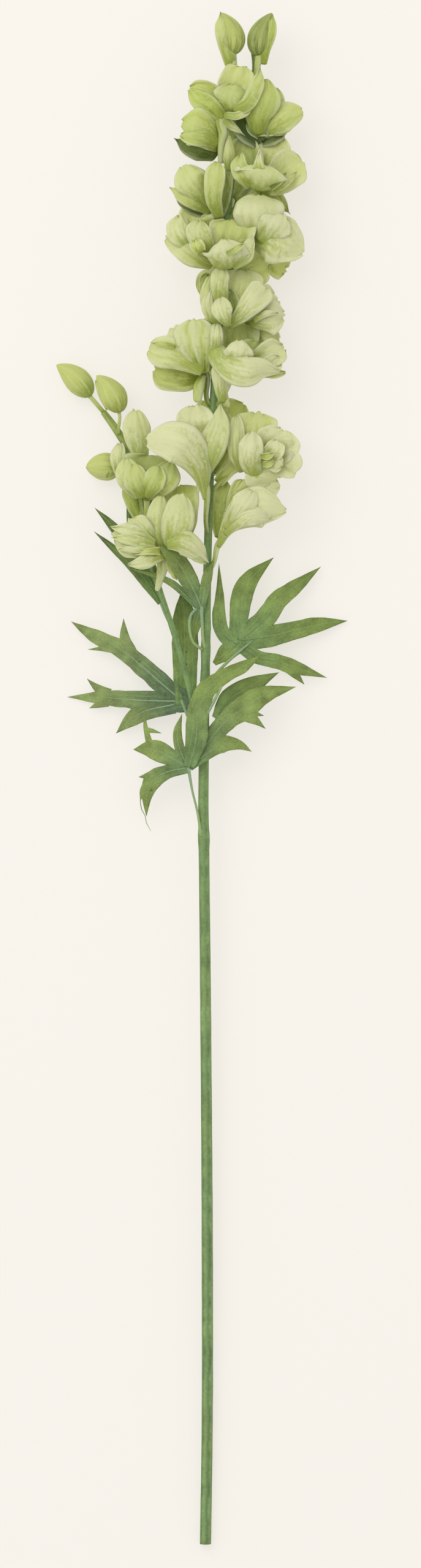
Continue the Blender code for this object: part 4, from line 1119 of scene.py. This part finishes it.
branchOpen = {
    "nodes": ["bloom_branch_open"], "seat": (-28.0, 652, 36), "axis": (-0.25, 0.15, 0.95), "foot": 636,
    "stalk": (1.5, 2.8), "branch": True, "depth": 1.9,
    "petals": [
        ([(-16, 662, 33, 14), (-16, 676, 34, 20), (-16, 686, 33, 21), (-16, 693.5, 31, 20)], 0.5, 1.1,
         {"round": 0.12}),
        ([(-30, 651, 39, 10), (-41, 654.5, 43, 19), (-50, 658, 43, 22), (-60, 661.5, 40, 16)], -0.5, 0.35,
         {"pleat": 0.8, "pleats": 12, "stripe": 0.5, "ragged": 3.5}),
        ([(-33, 653, 40, 8), (-40, 661, 44, 15), (-45, 667, 44, 16), (-49, 671.5, 42, 12)], -0.5, 0.3,
         {"pleat": 0.6, "pleats": 10, "ragged": 3.0}),
        ([(-24, 645, 40, 5), (-21, 638, 38, 7), (-19, 632, 36, 3)], -0.6, 0.8),
        ([(-30, 652, 40, 10), (-31.6, 663, 42, 15), (-31, 674, 42, 14), (-29.2, 686, 39, 9)], -0.6, 0.4),
        ([(-21, 652, 42, 12), (-19.6, 663, 45, 18), (-17.4, 674, 45, 19), (-16.6, 687.5, 41, 14)],
         -0.6, 0.25),
        ([(-26, 655, 43, 7), (-16, 656, 46, 15), (-7, 651, 45, 14), (0.8, 643.5, 40, 5)], -0.7, 0.15),
        ([(-12, 651, 42, 5), (-5, 647, 43, 8), (0, 643, 40, 5)], -0.6, 0.6),
        ([(-27, 649, 41, 7), (-36, 645.5, 45, 10), (-43, 642, 45, 8), (-50.5, 641, 42, 3)], -0.7, 0.15),
        ([(-30, 650, 44, 5), (-38, 649.5, 46, 4), (-46, 648, 44, 2)], 0.5, 0.8),
        ([(-33, 655, 43, 4), (-44, 661, 45.5, 8), (-53, 664, 44.5, 7), (-61, 665.5, 42, 2)], -0.6, 0.15),
        ([(-33, 653, 43.5, 4), (-44, 656, 46, 7), (-53, 658, 45, 6), (-60.5, 659, 42.5, 1)], -0.6, 0.4),
        ([(-32, 651, 44, 4), (-42, 652, 46, 6), (-50, 652, 45, 6), (-57, 651, 43, 1)], -0.6, 0.2),
    ],
    "spurs": [
        ([(-27, 652, 37), (-28, 641, 37), (-30, 632, 34), (-31.5, 626, 32)], [4.0, 4.2, 3.0, 1.8], 0.35),
    ],
}
makeFloret("branchOpenFloret", branchOpen)

branchHalf = {
    "nodes": ["bloom_branch_half"], "seat": (-38.5, 685, 32), "axis": (0.00, 0.88, 0.45), "foot": 671,
    "stalk": (1.5, 2.4), "branch": True,
    "petals": [
        ([(-41, 667, 27, 7), (-44, 674, 27, 8.5), (-48, 683, 28, 9), (-52, 693, 29, 8)], -0.8, 1.2,
         {"ragged": 0}),
        ([(-40, 672, 29, 8), (-33, 682, 30, 14), (-26, 693, 30, 10)], -0.5, 1.6),
        ([(-40, 690, 31, 14), (-38, 702, 32, 28), (-36, 713, 31, 28)], 0.5, 1.35, {"round": 0.14}),
        ([(-40, 686, 33, 8), (-32, 692, 37, 16), (-26, 699, 38, 18), (-23, 708.5, 35, 14)], -0.7, 0.75),
        ([(-42, 686, 34, 8), (-48, 694, 37, 14), (-51, 702, 37, 15), (-52, 711, 34, 11)], -0.7, 0.55),
        ([(-41, 685, 35, 8), (-44, 692, 39, 14), (-46, 699, 39.5, 15), (-47, 706.5, 38, 12)], -0.7, 0.75),
        ([(-39, 685, 35, 7), (-36, 692, 39.5, 13), (-33, 698, 40, 14), (-31, 705.5, 38, 10)], -0.7, 0.85),
    ],
}
makeFloret("branchHalfFloret", branchHalf)


backRings = [
    {"count": 5, "size": 1.0, "cup": -0.5, "tone": 0.8, "turn": 0, "uneven": 0.1,
     "rows": ((0.1, 0, 0.3), (0.4, -4, 0.75), (0.75, -7.5, 0.9), (1.0, -8.2, 0.6))},
    {"count": 4, "size": 0.55, "cup": -0.8, "tone": 1.2, "turn": 36, "uneven": 0.2,
     "rows": ((0.15, -1, 0.5), (0.5, -5, 0.9), (0.8, -8, 1.0), (0.9, -9, 0.7))},
]


backForm = {
    "axis": (0, 0.1, -1),
    "stalk": (1.4, 2.2),
    "depth": 1.3,
    "sway": 9,
    "sag": 0.14,
    "swayBeat": 2.1,
    "lengthBeat": 1.7,
    "sagBeat": 2.9,
}


def backPetals(seat, size, turn):
    # two uneven rings for a floret that faces the table
    petals = []
    for ring in backRings:
        for k in range(ring["count"]):
            sway = backForm["sway"] * math.sin(backForm["swayBeat"] * k + turn)
            angle = math.radians(turn + ring["turn"] + 360 * k / ring["count"] + sway)
            uneven = 1 + ring["uneven"] * math.sin(backForm["lengthBeat"] * k + turn)
            length = size * ring["size"] * uneven
            sag = 1 + backForm["sag"] * math.sin(backForm["sagBeat"] * k + turn)
            rows = []
            for share, drop, width in ring["rows"]:
                x, y = seat[0] + share * length * math.cos(angle), seat[1] + share * length * math.sin(angle)
                rows.append((x, y, seat[2] + drop * sag, size * ring["size"] * width))
            petals.append((rows, ring["cup"], ring["tone"]))
    return petals


backFlorets = {
    "backTopFloret": ("bloom_back_top", (22.0, 930, 20), 914, 21, 90),
    "backUpperFloret": ("bloom_back_upper", (17.0, 880, 20), 866, 23, 20),
    "backMiddleFloret": ("bloom_back_middle", (15.0, 832, 19), 818, 21, 54),
    "backLowerFloret": ("bloom_back_lower", (8.0, 784, 19), 766, 23, 0),
    "backFootFloret": ("bloom_back_foot", (6.0, 728, 20), 708, 25, 40),
}
for name, (node, seat, foot, size, turn) in backFlorets.items():
    makeFloret(name, {
        "nodes": [node], "seat": seat, "axis": backForm["axis"], "foot": foot, "stalk": backForm["stalk"],
        "depth": backForm["depth"], "petals": backPetals(seat, size, turn),
    })
print("florets made")


# Leaves: a lobe is its rib's points, the width at each and, for a lobe that tilts, its lean.
# A tooth is the same without heights.

leafForm = {
    "thickness": 0.4,
    "outlineStep": 2.5,
    "innerStep": 2.2,
    "fold": 0.16,
    "foldReach": 5,
    "ribRadius": 0.55,
    "ribTaper": 0.8,
    "ribStep": 3,
    "ribRise": 0.25,
    "ribSides": 8,
    "crumple": 0.35,
    "crumpleScale": 0.16,
    "edgeWave": 0.10,
    "edgeScale": 0.35,
    "rowHeight": 0.87,
    "blend": 2,
    "veinSpan": 4.0,
    "tolerance": 1e-4,
    "seedStep": 10,
    "tipTone": 0.5,
    "stalkTone": 0.3,
    "finish": 2,
}


def lobeOutline(points, widths, seed):
    rows = [(*point[:2], width) for point, width in zip(points, widths)]
    path = smoothPath(rows, leafForm["outlineStep"])
    left, right = [], []
    for k, here in enumerate(path):
        heading = headingAt(path, k).to_2d().normalized()
        half = max(here.z, 0.0) / 2
        along = k * leafForm["edgeScale"]
        wave = [1 + leafForm["edgeWave"] * noise.noise(Vector((along, seed, s))) for s in (0, 5)]
        across = Vector((-heading.y, heading.x))
        left.append(Vector(here[:2]) + across * half * wave[0])
        right.append(Vector(here[:2]) - across * half * wave[1])
    end = [right[-1]] if widths[-1] == 0 else [right[-1], left[-1]]
    return right[:-1] + end + left[-2::-1]


def nearestRib(lobes, place):
    # for each lobe: distance from its rib, signed side, share of the way along, height and lean
    found = []
    for points, _, *lean in lobes:
        best, walked = None, 0.0
        for a, b in zip(points, points[1:]):
            a, b = Vector(a), Vector(b)
            flat = (b - a).to_2d()
            t = min(1, max(0, (place - a.to_2d()).dot(flat) / flat.length_squared))
            point = a.lerp(b, t)
            off = place - point.to_2d()
            if best is None or off.length < best[0]:
                side = flat.normalized().cross(off)
                best = (off.length, side, walked + flat.length * t, point.z + sum(lean) * side)
            walked += flat.length
        found.append((best[0], best[1], best[2] / walked, best[3]))
    return found


def bladeAt(lobes, place):
    # the sheet's height blends its lobes' heights, and the nearest lobe gives the rest
    found = nearestRib(lobes, place)
    weights = [1 / (row[0] ** 2 + leafForm["blend"]) ** 2 for row in found]
    height = sum(w * row[3] for w, row in zip(weights, found)) / sum(weights)
    return height, min(found)


def insideOutline(outline, place):
    inside = False
    for a, b in zip(outline, outline[1:] + outline[:1]):
        crosses = (a.y > place.y) != (b.y > place.y)
        if crosses and place.x < (b.x - a.x) * (place.y - a.y) / (b.y - a.y) + a.x:
            inside = not inside
    return inside


def addLeafSheet(grid, sheet, seed):
    # the outlines of lobes and teeth filled with triangles, and a raised rib along each lobe
    lobes = sheet["lobes"]
    tone, lift = sheet["tone"], sheet.get("lift", 0)
    plates = [lobe[:2] for lobe in lobes] + sheet.get("teeth", [])
    outlines = [lobeOutline(points, widths, seed + k) for k, (points, widths) in enumerate(plates)]
    flat = [point for outline in outlines for point in outline]
    loops, start = [], 0
    for outline in outlines:
        loops.append(list(range(start, start + len(outline))))
        start += len(outline)
    edges = []
    for points, *_ in lobes:
        rib = [Vector(p[:2]) for p in smoothPath([(*p[:2], 0) for p in points], leafForm["ribStep"])]
        edges += [(len(flat) + k, len(flat) + k + 1) for k in range(len(rib) - 1)]
        flat += rib
    step = leafForm["innerStep"]
    low = [min(point[k] for point in flat) for k in (0, 1)]
    high = [max(point[k] for point in flat) for k in (0, 1)]
    for row in range(int((high[1] - low[1]) / step) + 1):
        for column in range(int((high[0] - low[0]) / step) + 1):
            across = low[0] + step * (column + 0.5 * (row % 2))
            place = Vector((across, low[1] + step * row * leafForm["rowHeight"]))
            if any(insideOutline(outline, place) for outline in outlines):
                flat.append(place)
    made = geometry.delaunay_2d_cdt(flat, edges, loops, 0, leafForm["tolerance"])
    places, triangles = made[0], [face for face, source in zip(made[2], made[5]) if source]
    used = sorted({k for face in triangles for k in face})
    order = {k: n for n, k in enumerate(used)}
    points, facts = [], []
    for k in used:
        place = places[k]
        height, (gap, side, share, _) = bladeAt(lobes, place)
        height += leafForm["fold"] * min(gap, leafForm["foldReach"]) + lift
        scale = leafForm["crumpleScale"]
        height += leafForm["crumple"] * noise.noise(Vector((place.x * scale, place.y * scale, seed)))
        points.append(Vector((place.x, place.y, height)))
        facts.append((share, side / leafForm["veinSpan"], tone + leafForm["tipTone"] * share))
    addShell(grid, points, [[order[k] for k in face] for face in triangles], facts, leafForm["thickness"])
    for points, *_ in lobes:
        rib = smoothPath(points, leafForm["ribStep"])
        path, radii = [], []
        for k, here in enumerate(rib[:-1]):
            height, _ = bladeAt(lobes, here.to_2d())
            path.append(Vector((here.x, here.y, height + lift + leafForm["ribRise"])))
            radii.append(leafForm["ribRadius"] * (1 - leafForm["ribTaper"] * k / len(rib)))
        addTube(grid, path, radii, leafForm["ribSides"], tone, leafForm["finish"])


def makeLeaf(name, facts):
    grid = newGrid()
    for k, sheet in enumerate(facts["sheets"]):
        addLeafSheet(grid, sheet, leafForm["seedStep"] * k + len(name))
    for path, radii in facts["stalks"]:
        rows = smoothPath([(*point, radius) for point, radius in zip(path, radii)], leafForm["ribStep"])
        places, sizes = [Vector(row[:3]) for row in rows], [row[3] for row in rows]
        addTube(grid, places, sizes, stalkForm["sides"], leafForm["stalkTone"], leafForm["finish"])
    finishPiece(name, grid, leafFinish, facts["nodes"])


leftLeaf = {
    "nodes": ["leaf_left"],
    "sheets": [{
        "tone": 0.0,
        "lobes": [
            ([(-17, 554, 17), (-31, 566, 17), (-47, 580, 15), (-58, 588, 13), (-74, 596, 9), (-88.5, 605, 5)],
             [12, 13, 12, 11, 8.5, 0]),
            ([(-17.5, 552.5, 17), (-40.5, 553, 15), (-53.5, 554, 12), (-68.5, 555, 8), (-91, 555.5, 3)],
             [13, 13, 11, 9, 0]),
            ([(-20.5, 550.5, 17), (-38.5, 546.5, 14), (-48.5, 541, 11), (-59, 531.5, 7)], [12, 12, 10, 0]),
        ],
        "teeth": [
            ([(-45.5, 578), (-52.5, 591), (-54, 607)], [9, 8, 0]),
            ([(-60, 587), (-69, 587), (-77.5, 586.5)], [6, 3, 0]),
            ([(-64.5, 556.5), (-71.5, 561.5), (-78, 567.5)], [10, 5, 0]),
            ([(-64.5, 552.5), (-70.5, 550.5), (-76.5, 548)], [7, 4.5, 0]),
            ([(-26, 553), (-16, 553), (-7, 551)], [13, 16, 11]),
        ],
    }, {
        # this lobe lies behind the others and has a deeper tone: partly its own colour, partly painted shade
        "tone": 0.9,
        "lift": -0.7,
        "lobes": [
            ([(-13, 550, 17.5), (-13.6, 574.5, 18), (-13.6, 592.5, 18), (-14, 608.5, 17), (-15.5, 624, 15)],
             [13, 16, 17, 15, 2]),
        ],
    }],
    "stalks": [([(-16, 553.5, 17), (-11, 541, 19), (-4, 529, 23)], [1.1, 1.1, 1.4])],
}
makeLeaf("leftLeaf", leftLeaf)

rightLeaf = {
    "nodes": ["leaf_right"],
    "sheets": [{
        "tone": 0.8,
        "lobes": [
            ([(20, 589.5, 23), (11, 597.5, 24), (8.5, 608.5, 24), (9, 621.5, 23), (8.5, 643, 21)],
             [12, 9.5, 9, 5.5, 0]),
            ([(21, 592.5, 23), (21.5, 605.5, 22), (23.5, 620.5, 20), (29, 632.5, 17), (44.5, 647, 10)],
             [12, 12, 14, 11.5, 0]),
            ([(22.5, 592, 23), (39, 607, 20), (47, 618.5, 17), (58.5, 627.5, 13), (75.5, 641, 6)],
             [15, 13.5, 12.5, 9.5, 0]),
            ([(23.5, 592.5, 23), (41.5, 595, 19), (58, 599, 14), (74.5, 603, 9), (93, 605.5, 4)],
             [14, 14, 12, 9.5, 0]),
            ([(22.5, 589.5, 23), (33.5, 581.5, 21), (47, 578.5, 17), (57.5, 575, 14), (79.5, 568, 7)],
             [10, 9, 9.5, 9.5, 0]),
            ([(21.5, 591, 23), (13, 584, 24), (5.5, 577, 24.5)], [13, 11, 3]),
        ],
        "teeth": [
            ([(53.5, 575), (59.5, 569), (64.5, 563.5)], [8, 4.5, 0]),
            ([(11, 590), (19, 592), (28, 594)], [10, 18, 14]),
        ],
    }],
    "stalks": [
        ([(31, 592.5, 22.5), (19.5, 583, 25.5), (9.5, 573.5, 28), (2, 564, 28)], [0.5, 0.9, 1.1, 1.3]),
    ],
}
makeLeaf("rightLeaf", rightLeaf)

frontLeaf = {
    "nodes": ["leaf_front"],
    "sheets": [
        {
            "tone": 0.45,
            "lobes": [
                ([(-11.5, 509.5, 31), (-22.5, 515.5, 29), (-34.5, 521, 25), (-47.5, 521, 18)],
                 [7, 11, 13, 0]),
                ([(-11.5, 509, 31), (-24.5, 506.5, 28), (-34.5, 501, 23), (-38.5, 490.5, 18), (-39, 477, 12)],
                 [7, 9, 12, 7, 0]),
                ([(-11.5, 509.5, 31), (-17, 521.5, 30), (-18.5, 532.5, 29), (-15.5, 544.5, 28)],
                 [5, 6.5, 5.5, 0]),
                ([(-11, 510, 31), (3.5, 528.5, 32.5), (14.5, 540.5, 32), (25.5, 548.5, 30),
                  (37.5, 556.5, 27), (59, 562, 21)],
                 [7, 11, 13, 16, 12, 0]),
                ([(-11, 509.5, 31), (-0.5, 517.5, 32), (10.5, 524.5, 30), (21.5, 524, 26), (30, 519.5, 22)],
                 [6, 8, 11, 6.5, 0]),
            ],
            "teeth": [
                ([(-37, 525.5), (-39.5, 536), (-40, 547)], [4.5, 2.5, 0]),
                ([(-39, 533.5), (-34.5, 533), (-29, 531.5)], [4, 2.6, 0]),
                ([(-34.5, 504), (-39, 503.5), (-44, 503)], [7, 4, 0]),
                ([(-36.5, 498.5), (-41, 493.5), (-43, 487.5)], [9, 5, 0]),
                ([(27.5, 543), (33.5, 539), (39, 534.5)], [9, 4.5, 0]),
                ([(29, 546.5), (33.5, 544), (38, 543)], [6, 3, 0]),
            ],
        },
        {
            "tone": 0.65,
            "lift": 0.4,
            "lobes": [
                ([(-11, 509.5, 31.5), (-6.5, 526.5, 34.5), (-5.5, 542.5, 35.5), (-0.5, 558.5, 35.5),
                  (11.5, 568.5, 34.5),
                  (23.5, 574.5, 33), (37, 583, 30)], [7, 14, 14, 13, 9.5, 8, 0]),
            ],
        },
        {
            # this lobe lies in shade behind the middle lobe, and its higher tone darkens it: painted shade
            "tone": 0.9,
            "lobes": [
                ([(6.5, 541, 32.5), (15.5, 553.5, 28), (29.5, 562.5, 24.5), (48, 571.5, 21)], [6, 14, 12, 0]),
            ],
        },
    ],
    "stalks": [
        ([(-11.5, 509.5, 31), (-9, 494.5, 28), (-5.5, 480, 26), (-3, 464, 24.5)], [1.2, 0.8, 0.8, 1.2]),
        ([(1, 544, 36.5), (5.6, 553, 36), (10.5, 562.5, 35.5)], [0.8, 1.1, 0.7]),
        ([(-41.8, 490.8, 18.5), (-42.8, 487.6, 16.8), (-42.2, 482, 12.5), (-39.8, 477.6, 11), (-39, 473, 10),
          (-36, 467.5, 9)], [0.35, 0.3, 0.3, 0.25, 0.25, 0.1]),
    ],
}
makeLeaf("frontLeaf", frontLeaf)

collarLeaf = {
    "nodes": ["leaf_collar"],
    "sheets": [
        {
            "tone": 0.35,
            "lobes": [
                ([(-3, 613.5, 33), (-8.5, 626, 36), (-14.5, 637.5, 39), (-21, 646.5, 43), (-29.5, 652.5, 48)],
                 [4.5, 10.5, 12.5, 11, 3], 0.6),
            ],
        },
        {
            "tone": 0.45,
            "lobes": [
                ([(-3, 611, 33), (-14.5, 623, 34.5), (-27, 632, 35), (-49.5, 639, 35)], [3.5, 4.5, 4.2, 0]),
                ([(-3, 613, 33), (-1, 625, 33.5), (1.6, 636, 33.5), (5, 644, 33)], [4.5, 6.5, 6, 0]),
                ([(-3, 615, 33), (-6, 604.5, 29), (-7.5, 591, 24)], [5, 7, 0]),
            ],
        },
    ],
    "stalks": [
        ([(-3, 614.5, 33), (-2.5, 604, 32), (-2, 594, 30.5), (-0.6, 586, 28)], [1.3, 1.1, 1.1, 1.2]),
        ([(-4.5, 614, 33), (-9.4, 609.5, 33), (-10.8, 601, 33), (-8.4, 591, 32), (-2, 586, 29)],
         [0.9, 0.9, 0.9, 0.9, 1.0]),
    ],
}
makeLeaf("collarLeaf", collarLeaf)

branchLeaf = {
    "nodes": ["leaf_branch"],
    "sheets": [{
        # this leaf lies behind the branch's florets; its high tone turns it deep green: partly its own
        # colour, partly painted shade
        "tone": 1.2,
        "lobes": [
            ([(-29.5, 616.5, 25), (-37, 629, 24), (-48.5, 641.5, 21), (-62.5, 654.5, 17), (-73.5, 664, 14)],
             [4, 9, 7, 4, 0]),
            ([(-31, 623, 24.5), (-45.5, 647, 21), (-59.5, 665.5, 17), (-73, 679.5, 14)], [6, 8, 6.5, 0]),
            ([(-33.5, 628.5, 24), (-43, 653.5, 20), (-49, 668.5, 17), (-52, 681, 15)], [6, 8, 5, 0]),
        ],
    }],
    "stalks": [([(-29.5, 617, 25), (-26.5, 609, 26), (-22, 600, 31)], [1.0, 0.9, 1.0])],
}
makeLeaf("branchLeaf", branchLeaf)
print("leaves made")


# Table, light and camera, in metres, apart from the aim, which is in the plant's millimetres.

studio = {
    "floorSize": 30.0,
    "floorHeight": -0.0005,
    "floorColour": (0.27, 0.26, 0.243),
    "floorRoughness": 0.9,
    "floorGlow": (0.66, 0.635, 0.594),
    "skyColour": (1.0, 0.985, 0.96),
    "skyStrength": 0.75,
    "keyPlace": (-1.2, 1.4, 2.6),
    "keySize": 2.4,
    "keyPower": 38,
    "lens": 200,
    "clipEnd": 50,
    "frameHeight": 1.024,
    "aim": (3.0, 498.4, 30.0),
}


def makeStudio(facts):
    scene = bpy.context.scene
    size = facts["floorSize"] / 2
    grid = bmesh.new()
    square = ((-size, -size), (size, -size), (size, size), (-size, size))
    corners = [grid.verts.new((x, y, facts["floorHeight"])) for x, y in square]
    grid.faces.new(corners)
    mesh = bpy.data.meshes.new("table")
    grid.to_mesh(mesh)
    grid.free()
    top = bpy.data.materials.new("tableTop")
    top.use_nodes = True
    setInputs(top.node_tree.nodes["Principled BSDF"], {
        "Base Color": (*facts["floorColour"], 1),
        "Roughness": facts["floorRoughness"],
        "Emission Color": (*facts["floorGlow"], 1),
        "Emission Strength": 1,
    })
    mesh.materials.append(top)
    table = bpy.data.objects.new("table", mesh)
    scene.collection.objects.link(table)
    world = bpy.data.worlds.new("sky")
    world.use_nodes = True
    sky = {"Color": (*facts["skyColour"], 1), "Strength": facts["skyStrength"]}
    setInputs(world.node_tree.nodes["Background"], sky)
    scene.world = world
    aim = origin + Vector(facts["aim"]) * mm
    lamp = bpy.data.lights.new("key", "AREA")
    lamp.size = facts["keySize"]
    lamp.energy = facts["keyPower"]
    key = bpy.data.objects.new("key", lamp)
    key.location = aim + Vector(facts["keyPlace"])
    key.rotation_mode = "QUATERNION"
    key.rotation_quaternion = (aim - key.location).to_track_quat("-Z", "Y")
    scene.collection.objects.link(key)
    lens = bpy.data.cameras.new("camera")
    lens.lens = facts["lens"]
    lens.clip_end = facts["clipEnd"]
    camera = bpy.data.objects.new("camera", lens)
    camera.location = aim + Vector((0, 0, facts["frameHeight"] * facts["lens"] / lens.sensor_width))
    scene.collection.objects.link(camera)
    scene.camera = camera
    scene.view_settings.view_transform = "Standard"


makeStudio(studio)
print("studio made")
